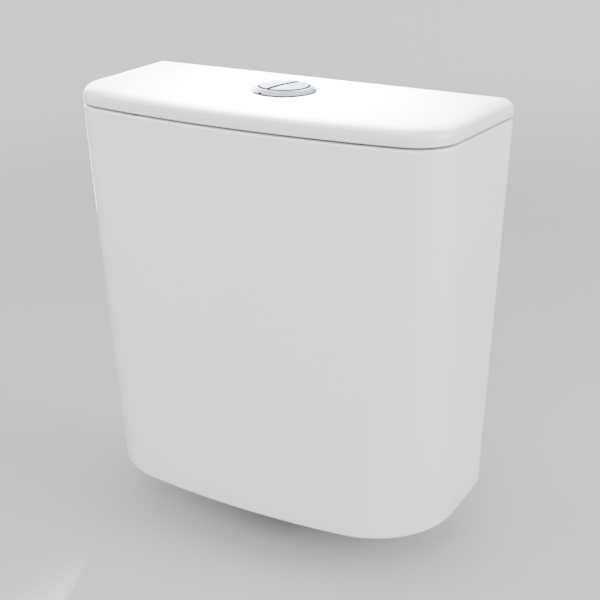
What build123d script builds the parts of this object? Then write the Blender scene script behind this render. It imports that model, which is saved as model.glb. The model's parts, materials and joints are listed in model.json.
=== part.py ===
from build123d import *
import math
import os

# Close-coupled toilet cistern: a china tank and lid, a dual-flush valve worked by two push
# buttons in the lid, and a bottom-entry fill valve with a cup float.
# Frame: origin on the outlet's axis at the tank's underside, +X to the right seen from the
# front, +Y towards the wall, +Z up. Lengths are in millimetres and angles in degrees.

# Clearances that several pieces share
overrun = 1.0  # how far a cut runs past the faces it opens
thread_fit = 0.05  # radial room between an engaged thread and its nut
thread_relief = 0.4  # how much thinner a thread's covered length is than its free end
seal_fit = 0.3  # radial room of a washer round the pipe or bolt through it
slide_fit = 0.4  # room round a piece that slides in a guide
pin_fit = 0.08  # radial room of a lever on its pin
touch_gap = 0.3  # air at rest between two pieces that push each other

# China tank
wall_offset = 77.0  # outlet axis to the wall
tank_height = 365.2
tank_depth = 166.8  # wall to the middle of the bowed front, at the rim
china_wall = 10.0
china_floor = 12.0
rim_round = 2.5
rim_inner_round = 2.0
foot_round = 4.0
floor_round = 6.0
round_steps = 4  # flat steps that make up each of these rounds
least_corner = 8.0  # least corner radius of a plan that is drawn in
top_half_front = 183.0
top_half_back = 190.0
top_bow = 16.8
top_front_radius = 40.0
top_back_radius = 10.0
foot_half_front = 180.0
foot_half_back = 178.0
foot_setback = 2.0  # how much less deep the tank is at its foot
foot_bow = 19.8
foot_front_radius = 84.0
foot_back_radius = 10.0

# Fixing holes in the tank
wall_screw_drop = 35.2  # holes below the rim
wall_screw_spacing = 240.0
wall_screw_hole_radius = 4.0
bolt_spacing = 160.0
bolt_hole_radius = 6.0
outlet_hole_radius = 32.0
inlet_hole_radius = 11.5

# China lid and the soft pads it rests on
seam_gap = 2.0  # thickness of the pads, and so the gap under the lid
lid_height = 15.8
lid_edge_round = 10.9
lid_recess = 6.3
lid_rib_clearance = 2.5
lid_rib_width = 6.0
lid_rib_depth = 8.0
lid_hole_radius = 25.5
pad_length = 14.0
pad_width = 5.0
pad_offset = 110.0

# Button set: bezel, gasket, housing and locknut
gasket_thickness = 0.6
gasket_outer_radius = 28.6
bezel_radius = 29.25
bezel_bore_radius = 22.3
bezel_edge = 0.7
bezel_rise = 3.4
bezel_crown_share = 0.62  # height of the bezel's curve half way in, as a share of its rise
notch_angle = -107.6
notch_width = 3.2
notch_depth = 2.0
notch_height = 1.5
sleeve_radius = 24.8
sleeve_wall = 1.4
sleeve_depth = 33.0
guide_plate_thickness = 3.0
locknut_radius = 31.5
locknut_thickness = 8.0
locknut_grip_radius = 2.4
locknut_grips = 12

# Flush buttons, their rods and springs
button_radius = 22.0
button_edge_rise = 0.6  # button's edge above the bezel's lip
button_dome = 2.0
button_plate = 2.4
button_split_gap = 0.8
split_sway_share = 0.27  # sideways reach of the split line, as a share of the button's radius
split_points = 9
skirt_depth = 8.0
skirt_wall = 1.2
skirt_lip = 1.0
boss_radius = 4.2
boss_depth = 8.0
rod_radius = 2.5
rod_offset = 9.0
spring_radius = 5.3
spring_wire = 0.9
spring_turns = 6
spring_end_gap = 0.1

# Flush valve: base, seals and nut under the floor
washer_inset = 1.0  # how far a washer's edge lies inside the flange that presses it
base_gasket_thickness = 3.0
base_flange_radius = 39.0
base_flange_thickness = 4.0
tail_radius = 29.8
tail_length = 38.0
outlet_bore_radius = 23.0
seat_throat_step = 0.5
seat_lip = 3.0
seat_height = 3.0
backnut_flats = 76.0
backnut_thickness = 12.0
coupling_radius = 45.0
coupling_height = 18.0
coupling_taper = 7.0
coupling_straight_share = 0.5

# Flush valve: cage, chamber and lever bracket
cage_radius = 36.0
cage_wall = 2.2
cage_height = 66.0
cage_plate = 3.0
cage_window_width = 34.0
cage_window_height = 40.0
cage_window_sill = 8.0
chamber_radius = 31.0
chamber_wall = 2.5
chamber_height = 165.0
chamber_window_width = 24.0
chamber_window_sill = 25.0
chamber_window_head = 30.0  # wall left above the window
bracket_plate = 3.0
bracket_rim = 1.5
ear_width = 10.0
ear_thickness = 3.0
ear_top_margin = 5.0

# Flush valve: moving tube, its seal and floats
tube_radius = 14.0
tube_wall = 2.0
tube_top_rise = 7.0  # tube's top above the lever bracket's plate
tube_tail = 5.0  # tube's end below the seat
tube_flange_radius = 24.0
tube_flange_thickness = 3.0
seal_radius = 28.0
seal_thickness = 3.5
retainer_radius = 19.0
retainer_thickness = 3.0
float_ring_radius = 24.0
full_float_rise = 15.0
full_float_height = 35.0
half_float_rise = 80.0
half_float_height = 30.0

# Levers, yoke and link
lever_pivot_rise = 31.0  # pivot above the lever bracket's plate
lever_pad_arm = 14.0
lever_pad_overhang = 5.0
lever_tip_arm = 26.0
lever_width = 10.0
lever_thickness = 5.0
lever_hub_radius = 5.0
lever_pin_radius = 2.0
lever_pin_overhang = 1.0
lever_side_gap = 2.0
yoke_collar_wall = 4.0
yoke_collar_height = 5.5
yoke_collar_rise = 1.0
yoke_bar = 3.0
yoke_lip_thickness = 4.0
yoke_lip_overlap = 4.0
yoke_tip_room = 1.5
link_width = 10.0
link_rise = 22.3  # link's foot above the cage
link_foot_height = 6.0
link_shoulder_height = 5.0
guide_wall = 3.0
guide_height = 8.0
guide_room = 16.7  # between the link's catch and the guide above it

# Fill valve: riser, washer, nut and filter
fill_room = 8.0  # between the riser's flange and the washer of the nearest bolt
fill_thread_radius = 10.48
fill_thread_length = 48.0
fill_bore_radius = 6.0
filter_socket_radius = 7.0
filter_socket_depth = 28.0
filter_wall = 1.4
filter_length = 25.0
filter_slot_width = 1.6
filter_slots = 4
filter_fit = 0.1
riser_flange_radius = 18.0
riser_flange_thickness = 4.0
riser_washer_thickness = 3.0
riser_radius = 9.0
riser_height = 180.0
riser_nut_flats = 30.0
riser_nut_thickness = 9.0

# Fill valve: sleeve, head, diaphragm and cap
sleeve_tube_radius = 12.0
sleeve_tube_base = 101.0  # sleeve's lower end above the riser's flange
sleeve_tube_height = 120.0
stop_collar_radius = 17.0
stop_collar_height = 6.0
stop_collar_rise = 18.0
head_radius = 14.0
head_height = 22.0
diaphragm_radius = 15.0
diaphragm_thickness = 2.0
cap_height = 10.0
cap_round = 3.0

# Fill valve: cup float, its rod and lever
cup_radius = 30.0
cup_wall = 1.5
cup_height = 60.0
cup_clearance = 1.0
cup_boss_radius = 3.5
cup_boss_height = 5.0
float_rod_radius = 1.5
float_rod_front = 17.0
float_lever_arm = 36.0
float_lever_tilt = 16.0  # how far the lever hangs below level with the float down
float_lever_width = 4.0
float_lever_thickness = 4.0
float_lever_hub_radius = 4.0
float_pin_radius = 1.5
float_pin_grip = 6.0
float_pin_head = 1.0
pivot_offset = 18.0
pivot_rise = 12.0
pivot_block_width = 12.0
pivot_block_height = 12.0
eye_length = 12.0
eye_width = 7.4
clip_radius = 3.2
clip_thickness = 2.0
clip_room = 1.5

# Bolts that clamp the tank on the pan
bolt_radius = 4.0
bolt_length = 48.0  # below the tank's underside
bolt_head_radius = 8.5
bolt_head_height = 5.0
bolt_slot_width = 1.8
bolt_slot_depth = 2.0
cone_washer_radius = 12.0
cone_washer_top_radius = 9.0
cone_washer_thickness = 4.0
flat_washer_radius = 10.0
flat_washer_thickness = 1.6
nut_flats = 13.0
nut_thickness = 6.5

# Heights and places that follow from the sizes above
lid_base = tank_height + seam_gap
lid_top = lid_base + lid_height
bezel_base = lid_top + gasket_thickness
bezel_lip = bezel_base + bezel_rise
button_edge = bezel_lip + button_edge_rise
button_underside = button_edge - button_plate
sleeve_bottom = bezel_base - sleeve_depth
guide_plate_top = sleeve_bottom + guide_plate_thickness
base_underside = china_floor + base_gasket_thickness
base_top = base_underside + base_flange_thickness
seat_top = base_top + seat_height
cage_top = base_top + cage_height
chamber_top = cage_top + chamber_height
bracket_top = chamber_top + bracket_plate
tube_top = bracket_top + tube_top_rise
lever_pivot_height = bracket_top + lever_pivot_rise
lever_pivot_offset = rod_offset + lever_pad_arm
lever_tip_offset = lever_pivot_offset + lever_tip_arm
lever_lip_height = lever_pivot_height + lever_thickness / 2 + touch_gap
tube_hole_radius = tube_radius + slide_fit
link_inner = chamber_radius + bracket_rim + slide_fit
link_foot = cage_top + link_rise
fill_offset = -(bolt_spacing / 2 + cone_washer_radius + fill_room + riser_flange_radius)
riser_base = china_floor + riser_washer_thickness
riser_flange_top = riser_base + riser_flange_thickness
riser_top = riser_flange_top + riser_height
sleeve_tube_bottom = riser_flange_top + sleeve_tube_base
sleeve_tube_top = sleeve_tube_bottom + sleeve_tube_height
stop_collar_top = sleeve_tube_bottom + stop_collar_rise + stop_collar_height
head_top = sleeve_tube_top + head_height
cup_top = stop_collar_top + cup_height
float_pivot_height = sleeve_tube_top + pivot_rise
float_pivot_x = fill_offset - pivot_offset
float_tilt = math.radians(float_lever_tilt)
float_eye_height = float_pivot_height - float_lever_arm * math.sin(float_tilt)
float_rod_x = float_pivot_x + float_lever_arm * (1 + math.cos(float_tilt)) / 2
float_rod_y = -float_rod_front

top_plan = (
    top_half_front,
    top_half_back,
    tank_depth - top_bow,
    top_bow,
    top_front_radius,
    top_back_radius,
)
foot_plan = (
    foot_half_front,
    foot_half_back,
    tank_depth - foot_setback - foot_bow,
    foot_bow,
    foot_front_radius,
    foot_back_radius,
)


# Plain shapes


def cylinder(radius, low, high, x=0, y=0):
    """Upright cylinder between two heights."""
    align = (Align.CENTER, Align.CENTER, Align.MIN)
    return Pos(x, y, low) * Cylinder(radius, high - low, align=align)


def tube(outer, inner, low, high, x=0, y=0):
    """Upright tube between two heights, open at both ends."""
    hole = cylinder(inner, low - overrun, high + overrun, x, y)
    return cylinder(outer, low, high, x, y) - hole


def cross_cylinder(radius, x, z, y_low, y_high):
    """Cylinder lying along Y."""
    align = (Align.CENTER, Align.CENTER, Align.MIN)
    return Pos(x, y_low, z) * Rot(-90, 0, 0) * Cylinder(radius, y_high - y_low, align=align)


def block(x_one, x_two, y_low, y_high, z_low, z_high):
    """Box between two corners; its two X values may come in either order."""
    centre = Pos((x_one + x_two) / 2, (y_low + y_high) / 2, (z_low + z_high) / 2)
    return centre * Box(abs(x_two - x_one), y_high - y_low, z_high - z_low)


def hex_nut(flats, hole, low, high, x=0, y=0):
    """Six-sided nut with a plain hole."""
    prism = extrude(RegularPolygon(flats / 2, 6, major_radius=False), high - low)
    return Pos(x, y, low) * prism - cylinder(hole, low - overrun, high + overrun, x, y)


def turned(edges):
    """Solid of revolution about Z from closed edges in the XZ plane."""
    return revolve(make_face(edges), axis=Axis.Z)


def turned_outline(points):
    """Solid of revolution about Z from (radius, height) corners joined by straight lines."""
    corners = [Vector(radius, 0, height) for radius, height in points]
    return turned(Polyline(*corners, close=True).edges())


# Tank and lid


def front_arc(sizes, inset):
    """Radius and centre Y of the bowed front's arc, drawn in by the inset."""
    half_front, _, side_depth, bow, _, _ = sizes
    outer_radius = (half_front**2 + bow**2) / (2 * bow)
    return outer_radius - inset, wall_offset - side_depth - bow + outer_radius


def plan_face(sizes, inset, height):
    """Plan of the tank: bowed front, round corners, straight sides that widen to the back.

    The front corner's centre lies one corner radius inside the side line and inside the
    front arc, so the fillet is tangent to both; the left half mirrors the right.
    """
    half_front, half_back, side_depth, _, front_radius, back_radius = sizes
    arc_radius, arc_y = front_arc(sizes, inset)
    arc_centre = Vector(0, arc_y)
    front_radius = max(front_radius - inset, least_corner)
    back_radius = max(back_radius - inset, least_corner)
    side_start = Vector(half_front, wall_offset - side_depth)
    side = (Vector(half_back, wall_offset) - side_start).normalized()
    outward = Vector(side.Y, -side.X)
    back = Vector(0, 1)

    base = side_start - outward * (inset + front_radius)
    along = (base - arc_centre).dot(side)
    across_squared = (base - arc_centre).length ** 2 - along**2
    step = -along - math.sqrt((arc_radius - front_radius) ** 2 - across_squared)
    front_centre = base + side * step
    to_arc = (front_centre - arc_centre).normalized()

    base = side_start - outward * (inset + back_radius)
    back_centre = base + side * ((wall_offset - inset - back_radius - base.Y) / side.Y)

    turns = [
        front_centre + to_arc * front_radius,
        front_centre + (to_arc + outward).normalized() * front_radius,
        front_centre + outward * front_radius,
        back_centre + outward * back_radius,
        back_centre + (outward + back).normalized() * back_radius,
        back_centre + back * back_radius,
    ]
    right = [Vector(p.X, p.Y, height) for p in turns]
    left = [Vector(-p.X, p.Y, height) for p in turns]
    front = Vector(0, arc_y - arc_radius, height)
    return make_face(
        [
            ThreePointArc(left[0], front, right[0]),
            ThreePointArc(right[0], right[1], right[2]),
            Line(right[2], right[3]),
            ThreePointArc(right[3], right[4], right[5]),
            Line(right[5], left[5]),
            ThreePointArc(left[5], left[4], left[3]),
            Line(left[3], left[2]),
            ThreePointArc(left[2], left[1], left[0]),
        ]
    )


def plan_at(height):
    """Sizes of the tank's plan at a height between its foot and its rim."""
    share = height / tank_height
    return tuple(foot + share * (top - foot) for foot, top in zip(foot_plan, top_plan))


def edge_round(radius):
    """(inset, rise) steps along a quarter circle, from its inner end to its outer end."""
    angles = [math.pi * index / (2 * round_steps) for index in range(round_steps + 1)]
    return [(radius * (1 - math.sin(angle)), radius * (1 - math.cos(angle))) for angle in angles]


def stacked(sections):
    """Solid through plans of the tank given as (inset, height) pairs, from the lowest up."""
    plans = [plan_face(plan_at(height), inset, height) for inset, height in sections]
    return loft(plans, ruled=True)


def flat_backed(solid):
    """The same solid with its back wall as one true plane."""
    faces = solid.faces().sort_by(Axis.Y)
    back = Face(faces[-1].outer_wire())
    return Solid(Shell(faces[:-1] + [back]))


def cistern_body():
    """Tapered china tank, open at the top, with its fixing and pipe holes."""
    rim = [(inset, tank_height - rise) for inset, rise in reversed(edge_round(rim_round))]
    outside = flat_backed(stacked(edge_round(foot_round) + rim))
    floor = [(china_wall + inset, china_floor + rise) for inset, rise in edge_round(floor_round)]
    lip = reversed(edge_round(rim_inner_round))
    mouth = [(china_wall - inset, tank_height - rise) for inset, rise in lip]
    tank = outside - stacked(floor + mouth)

    tank -= cylinder(outlet_hole_radius, -overrun, china_floor + overrun)
    tank -= cylinder(inlet_hole_radius, -overrun, china_floor + overrun, fill_offset)
    for side in (-1, 1):
        tank -= cylinder(bolt_hole_radius, -overrun, china_floor + overrun, side * bolt_spacing / 2)
        tank -= cross_cylinder(
            wall_screw_hole_radius,
            side * wall_screw_spacing / 2,
            tank_height - wall_screw_drop,
            wall_offset - china_wall - overrun,
            wall_offset + overrun,
        )
    return tank


def cistern_lid():
    """China lid, flush with the tank, with a round top edge and a rib that drops into it."""
    slab = extrude(plan_face(top_plan, 0, lid_base), lid_height, dir=(0, 0, 1))
    slab = fillet(slab.faces().sort_by(Axis.Z)[-1].edges(), lid_edge_round)
    rib_inset = china_wall + lid_rib_clearance
    rib = extrude(plan_face(top_plan, rib_inset, lid_base), lid_rib_depth, dir=(0, 0, -1))
    hollow_plan = plan_face(top_plan, rib_inset + lid_rib_width, lid_base + lid_recess)
    hollow = extrude(hollow_plan, lid_recess + lid_rib_depth + overrun, dir=(0, 0, -1))
    return slab + rib - hollow - cylinder(lid_hole_radius, lid_base, lid_top + overrun)


def lid_pads():
    """Four soft pads on the tank's rim, two along the back and two on the bowed front."""
    pad = extrude(SlotOverall(pad_length, pad_width), seam_gap)
    arc_radius, arc_y = front_arc(top_plan, china_wall / 2)
    lean = math.asin(pad_offset / arc_radius)
    front_y = arc_y - arc_radius * math.cos(lean)
    pads = []
    for side in (-1, 1):
        x = side * pad_offset
        pads.append(Pos(x, wall_offset - china_wall / 2, tank_height) * pad)
        pads.append(Pos(x, front_y, tank_height) * Rot(0, 0, math.degrees(side * lean)) * pad)
    return pads


# Button set


def button_bezel():
    """Domed ring round the buttons, with a small notch at its edge for prising it up."""
    outer_low = Vector(bezel_radius, 0, bezel_base)
    outer_high = Vector(bezel_radius, 0, bezel_base + bezel_edge)
    lip = Vector(bezel_bore_radius, 0, bezel_lip)
    bore_low = Vector(bezel_bore_radius, 0, bezel_base)
    crown_height = bezel_base + bezel_edge + (bezel_rise - bezel_edge) * bezel_crown_share
    crown = Vector((bezel_radius + bezel_bore_radius) / 2, 0, crown_height)
    ring = turned(
        [
            Line(bore_low, outer_low),
            Line(outer_low, outer_high),
            ThreePointArc(outer_high, crown, lip),
            Line(lip, bore_low),
        ]
    )
    notch = block(
        bezel_radius - notch_depth,
        bezel_radius + overrun,
        -notch_width / 2,
        notch_width / 2,
        bezel_base - overrun,
        bezel_base + notch_height,
    )
    return ring - Rot(0, 0, notch_angle) * notch


def bezel_gasket():
    """Thin seal between the bezel and the lid."""
    return tube(gasket_outer_radius, sleeve_radius + seal_fit, lid_top, bezel_base)


def button_housing():
    """Threaded sleeve through the lid, closed below by a plate that guides both rods."""
    bore = sleeve_radius - sleeve_wall
    housing = cylinder(sleeve_radius, sleeve_bottom, bezel_base)
    housing -= cylinder(bore, guide_plate_top, bezel_base + overrun)
    for side in (-1, 1):
        hole = rod_radius + slide_fit
        housing -= cylinder(hole, sleeve_bottom - overrun, guide_plate_top + overrun, side * rod_offset)
    return housing


def housing_locknut():
    """Scalloped nut that clamps the button set from under the lid."""
    high = lid_base + lid_recess
    low = high - locknut_thickness
    nut = tube(locknut_radius, sleeve_radius + thread_fit, low, high)
    for index in range(locknut_grips):
        turn = Rot(0, 0, index * 360 / locknut_grips)
        nut -= turn * cylinder(locknut_grip_radius, low - overrun, high + overrun, locknut_radius)
    return nut


def split_line(y):
    """S curve between the buttons: half a sine wave, left at the front and right at the back."""
    return split_sway_share * button_radius * math.sin(math.pi * y / (2 * button_radius))


def button_half(side):
    """Everything on one side of the split line, short of it by half the split gap."""
    reach = button_radius + skirt_lip + overrun
    shift = side * button_split_gap / 2
    ys = [reach * (2 * index / (split_points - 1) - 1) for index in range(split_points)]
    split = Spline(*[(split_line(y) + shift, y) for y in ys])
    far = side * (reach + overrun)
    ends = [split @ 0, Vector(far, -reach), Vector(far, reach), split @ 1]
    edges = [split] + [Line(ends[index], ends[index + 1]) for index in range(len(ends) - 1)]
    low = button_underside - skirt_depth - boss_depth
    return Pos(0, 0, low) * extrude(make_face(edges), button_edge + button_dome - low + overrun)


def flush_button(side):
    """Half of the domed disc, with its skirt, the lip that stops it, and a boss for its rod."""
    centre_low = Vector(0, 0, button_underside)
    edge_low = Vector(button_radius, 0, button_underside)
    edge_high = Vector(button_radius, 0, button_edge)
    apex = Vector(0, 0, button_edge + button_dome)
    dome_radius = (button_radius**2 + button_dome**2) / (2 * button_dome)
    half_angle = math.asin(button_radius / dome_radius) / 2
    mid_height = apex.Z - dome_radius * (1 - math.cos(half_angle))
    mid = Vector(dome_radius * math.sin(half_angle), 0, mid_height)
    disc = turned(
        [
            Line(centre_low, edge_low),
            Line(edge_low, edge_high),
            ThreePointArc(edge_high, mid, apex),
            Line(apex, centre_low),
        ]
    )
    skirt_low = button_underside - skirt_depth
    lip_high = bezel_base - touch_gap
    skirt_bore = button_radius - skirt_wall
    disc += tube(button_radius, skirt_bore, skirt_low, button_underside)
    disc += tube(button_radius + skirt_lip, skirt_bore, skirt_low, lip_high)
    half = disc & button_half(side)
    boss_low = button_underside - boss_depth
    x = side * rod_offset
    return half + tube(boss_radius, rod_radius + thread_fit, boss_low, button_underside, x)


def push_rod(side):
    """Rod screwed up into the button's boss, with a domed end just above its lever."""
    x = side * rod_offset
    tip = lever_lip_height + rod_radius
    return cylinder(rod_radius, tip, button_underside, x) + Pos(x, 0, tip) * Sphere(rod_radius)


def button_spring(side):
    """Coil spring round the rod, from the guide plate up to the button."""
    margin = spring_wire / 2 + spring_end_gap
    height = button_underside - guide_plate_top - 2 * margin
    path = Helix(height / spring_turns, height, spring_radius)
    section = Plane(origin=path @ 0, z_dir=path % 0) * Circle(spring_wire / 2)
    return Pos(side * rod_offset, 0, guide_plate_top + margin) * sweep(section, path, is_frenet=True)


# Flush valve, fixed pieces


def valve_base():
    """Threaded tail through the floor, flange on its gasket, and the raised seat."""
    root = tail_radius - thread_relief
    free_end = -backnut_thickness - coupling_height
    base = cylinder(tail_radius, -tail_length, free_end)
    base += cylinder(root, free_end, base_underside)
    base += cylinder(base_flange_radius, base_underside, base_top)
    throat = outlet_bore_radius + seat_throat_step
    base += cylinder(throat + seat_lip, base_top, seat_top)
    base -= cylinder(outlet_bore_radius, -tail_length - overrun, base_underside)
    return base - cylinder(throat, base_underside, seat_top + overrun)


def valve_base_gasket():
    """Rubber ring between the valve's flange and the tank's floor."""
    outer = base_flange_radius - washer_inset
    return tube(outer, tail_radius + seal_fit, china_floor, base_underside)


def valve_backnut():
    """Large plastic nut that pulls the valve down from under the tank."""
    hole = tail_radius - thread_relief + thread_fit
    return hex_nut(backnut_flats, hole, -backnut_thickness, 0)


def coupling_washer():
    """Soft tapered ring round the tail, squeezed between the tank and the pan."""
    high = -backnut_thickness
    low = high - coupling_height
    inner = tail_radius + seal_fit
    shoulder = high - coupling_height * coupling_straight_share
    return turned_outline(
        [
            (inner, high),
            (coupling_radius, high),
            (coupling_radius, shoulder),
            (coupling_radius - coupling_taper, low),
            (inner, low),
        ]
    )


def valve_cage():
    """Basket with four windows that let the water reach the seat."""
    cage = tube(cage_radius, cage_radius - cage_wall, base_top, cage_top)
    cage += tube(cage_radius, tube_hole_radius, cage_top - cage_plate, cage_top)
    sill = base_top + cage_window_sill
    for turn in (0, 90):
        window = block(
            -cage_radius - overrun,
            cage_radius + overrun,
            -cage_window_width / 2,
            cage_window_width / 2,
            sill,
            sill + cage_window_height,
        )
        cage -= Rot(0, 0, turn) * window
    return cage


def valve_chamber():
    """Tall slotted tube for the floats, with a staple that guides the half-flush link."""
    chamber_bore = chamber_radius - chamber_wall
    chamber = tube(chamber_radius, chamber_bore, cage_top, chamber_top)
    chamber -= block(
        -chamber_window_width / 2,
        chamber_window_width / 2,
        -chamber_radius - overrun,
        chamber_radius + overrun,
        cage_top + chamber_window_sill,
        chamber_top - chamber_window_head,
    )
    low = link_foot + link_foot_height + guide_room
    slot_in = link_inner - slide_fit
    slot_out = link_inner + yoke_bar + slide_fit
    half_width = link_width / 2 + slide_fit
    staple = block(
        chamber_radius - chamber_wall / 2,
        slot_out + guide_wall,
        -half_width - guide_wall,
        half_width + guide_wall,
        low,
        low + guide_height,
    )
    staple -= block(
        slot_in, slot_out, -half_width, half_width, low - overrun, low + guide_height + overrun
    )
    return chamber + staple


def lever_bracket():
    """Plate on the chamber's top: two pairs of ears for the levers and a slot for the link."""
    slot_out = link_inner + yoke_bar + slide_fit
    half_width = link_width / 2 + slide_fit
    plate = cylinder(chamber_radius + bracket_rim, chamber_top, bracket_top)
    plate += block(
        0,
        slot_out + guide_wall,
        -half_width - guide_wall,
        half_width + guide_wall,
        chamber_top,
        bracket_top,
    )
    plate -= block(
        link_inner - slide_fit,
        slot_out,
        -half_width,
        half_width,
        chamber_top - overrun,
        bracket_top + overrun,
    )
    plate -= cylinder(tube_hole_radius, chamber_top - overrun, bracket_top + overrun)
    ear_low = lever_width / 2 + lever_side_gap
    ear_high = ear_low + ear_thickness
    for side in (-1, 1):
        x = side * lever_pivot_offset
        for front in (-1, 1):
            y_low = min(front * ear_low, front * ear_high)
            y_high = max(front * ear_low, front * ear_high)
            plate += block(
                x - ear_width / 2,
                x + ear_width / 2,
                y_low,
                y_high,
                bracket_top,
                lever_pivot_height + ear_top_margin,
            )
        plate -= cross_cylinder(
            lever_pin_radius + thread_fit,
            x,
            lever_pivot_height,
            -ear_high - overrun,
            ear_high + overrun,
        )
    return plate


def lever_pins():
    """One steel pin through each pair of ears."""
    reach = lever_width / 2 + lever_side_gap + ear_thickness + lever_pin_overhang
    return [
        cross_cylinder(
            lever_pin_radius, side * lever_pivot_offset, lever_pivot_height, -reach, reach
        )
        for side in (-1, 1)
    ]


# Flush valve, moving pieces


def overflow_tube():
    """Open tube that is both the overflow and the valve's stem, with the flange of its seal."""
    low = seat_top - tube_tail
    flange_low = seat_top + seal_thickness
    stem = cylinder(tube_radius, low, tube_top)
    stem += cylinder(tube_flange_radius, flange_low, flange_low + tube_flange_thickness)
    return stem - cylinder(tube_radius - tube_wall, low - overrun, tube_top + overrun)


def seal_washer():
    """Flat rubber seal that lies on the seat."""
    return tube(seal_radius, tube_radius + thread_fit, seat_top, seat_top + seal_thickness)


def seal_retainer():
    """Ring nut on the tube's end that holds the seal up against the flange."""
    low = seat_top - retainer_thickness
    return tube(retainer_radius, tube_radius + thread_fit, low, seat_top)


def ring_float(rise, height):
    """Float clamped on the tube, between two heights above the cage."""
    low = cage_top + rise
    return tube(float_ring_radius, tube_radius + thread_fit, low, low + height)


def hook(side, start, base, bar_height):
    """Arm out from the start, up past the lever's tip and back in over it."""
    outer = lever_tip_offset + lever_thickness / 2 + yoke_tip_room + yoke_bar
    half = lever_width / 2
    lip_top = lever_lip_height + yoke_lip_thickness
    lip_inner = lever_tip_offset - yoke_lip_overlap
    arm = block(side * start, side * outer, -half, half, base, base + bar_height)
    arm += block(side * (outer - yoke_bar), side * outer, -half, half, base, lip_top)
    return arm + block(side * lip_inner, side * outer, -half, half, lever_lip_height, lip_top)


def lift_yoke():
    """Collar on the tube with a hook over the full-flush lever's tip."""
    low = bracket_top + yoke_collar_rise
    collar = cylinder(tube_radius + yoke_collar_wall, low, low + yoke_collar_height)
    yoke = collar + hook(-1, tube_radius, low, yoke_collar_height)
    hole = tube_radius + thread_fit
    return yoke - cylinder(hole, low - overrun, low + yoke_collar_height + overrun)


def half_flush_link():
    """Bar that the half-flush lever lifts through its two guides, with a catch at its foot."""
    half = link_width / 2
    shoulder = bracket_top + touch_gap
    outer = link_inner + yoke_bar
    link = block(link_inner, outer, -half, half, link_foot, shoulder + link_shoulder_height)
    catch_inner = chamber_radius + slide_fit
    link += block(catch_inner, outer, -half, half, link_foot, link_foot + link_foot_height)
    return link + hook(1, link_inner, shoulder, link_shoulder_height)


def flush_lever(side):
    """Rocker on its pin: the rod pushes its inner end down and its outer tip lifts."""
    half = lever_width / 2
    pivot = side * lever_pivot_offset
    tip = side * lever_tip_offset
    pad = side * (rod_offset - lever_pad_overhang)
    z = lever_pivot_height
    rocker = block(pad, tip, -half, half, z - lever_thickness / 2, z + lever_thickness / 2)
    rocker += cross_cylinder(lever_thickness / 2, pad, z, -half, half)
    rocker += cross_cylinder(lever_thickness / 2, tip, z, -half, half)
    rocker += cross_cylinder(lever_hub_radius, pivot, z, -half, half)
    hole = lever_pin_radius + pin_fit
    return rocker - cross_cylinder(hole, pivot, z, -half - overrun, half + overrun)


# Fill valve


def fill_riser():
    """Threaded inlet through the floor and the fixed pipe of the fill valve."""
    root = fill_thread_radius - thread_relief
    free_end = -riser_nut_thickness
    riser = cylinder(fill_thread_radius, -fill_thread_length, free_end, fill_offset)
    riser += cylinder(root, free_end, riser_base, fill_offset)
    riser += cylinder(riser_flange_radius, riser_base, riser_flange_top, fill_offset)
    riser += cylinder(riser_radius, riser_flange_top, riser_top, fill_offset)
    riser -= cylinder(fill_bore_radius, -fill_thread_length - overrun, riser_top + overrun, fill_offset)
    socket_top = filter_socket_depth - fill_thread_length
    return riser - cylinder(
        filter_socket_radius, -fill_thread_length - overrun, socket_top, fill_offset
    )


def riser_washer():
    """Rubber washer under the riser's flange."""
    outer = riser_flange_radius - washer_inset
    inner = fill_thread_radius + seal_fit
    return tube(outer, inner, china_floor, riser_base, fill_offset)


def riser_backnut():
    """Nut that clamps the riser from under the tank."""
    hole = fill_thread_radius - thread_relief + thread_fit
    return hex_nut(riser_nut_flats, hole, -riser_nut_thickness, 0, fill_offset)


def inlet_filter():
    """Slotted cup in the inlet's mouth, closed at its upper end."""
    outer = filter_socket_radius - filter_fit
    socket_top = filter_socket_depth - fill_thread_length
    low = socket_top - filter_length
    cup = cylinder(outer, low, socket_top)
    cup -= cylinder(outer - filter_wall, low - overrun, socket_top - filter_wall)
    for index in range(filter_slots):
        slot = block(
            -outer - overrun,
            outer + overrun,
            -filter_slot_width / 2,
            filter_slot_width / 2,
            low + 2 * filter_wall,
            socket_top - 2 * filter_wall,
        )
        cup -= Rot(0, 0, index * 180 / filter_slots) * slot
    return Pos(fill_offset, 0, 0) * cup


def fill_sleeve():
    """Height-adjusting sleeve on the riser, with the collar that the float comes to rest on."""
    sleeve = cylinder(sleeve_tube_radius, sleeve_tube_bottom, sleeve_tube_top, fill_offset)
    collar_low = stop_collar_top - stop_collar_height
    sleeve += cylinder(stop_collar_radius, collar_low, stop_collar_top, fill_offset)
    bore = riser_radius + thread_fit
    return sleeve - cylinder(
        bore, sleeve_tube_bottom - overrun, sleeve_tube_top + overrun, fill_offset
    )


def fill_head():
    """Valve head on the sleeve, with a side block that carries the float lever's pin."""
    head = cylinder(head_radius, sleeve_tube_top, head_top, fill_offset)
    face = -float_rod_front + float_lever_width / 2 + slide_fit
    head += block(
        float_pivot_x - pivot_block_width / 2,
        fill_offset,
        face,
        0,
        float_pivot_height - pivot_block_height / 2,
        float_pivot_height + pivot_block_height / 2,
    )
    head -= cylinder(fill_bore_radius, sleeve_tube_top - overrun, head_top + overrun, fill_offset)
    return head - cross_cylinder(
        float_pin_radius + thread_fit,
        float_pivot_x,
        float_pivot_height,
        face - overrun,
        face + float_pin_grip,
    )


def fill_diaphragm():
    """Rubber disc between the head and its cap."""
    return cylinder(diaphragm_radius, head_top, head_top + diaphragm_thickness, fill_offset)


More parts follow.
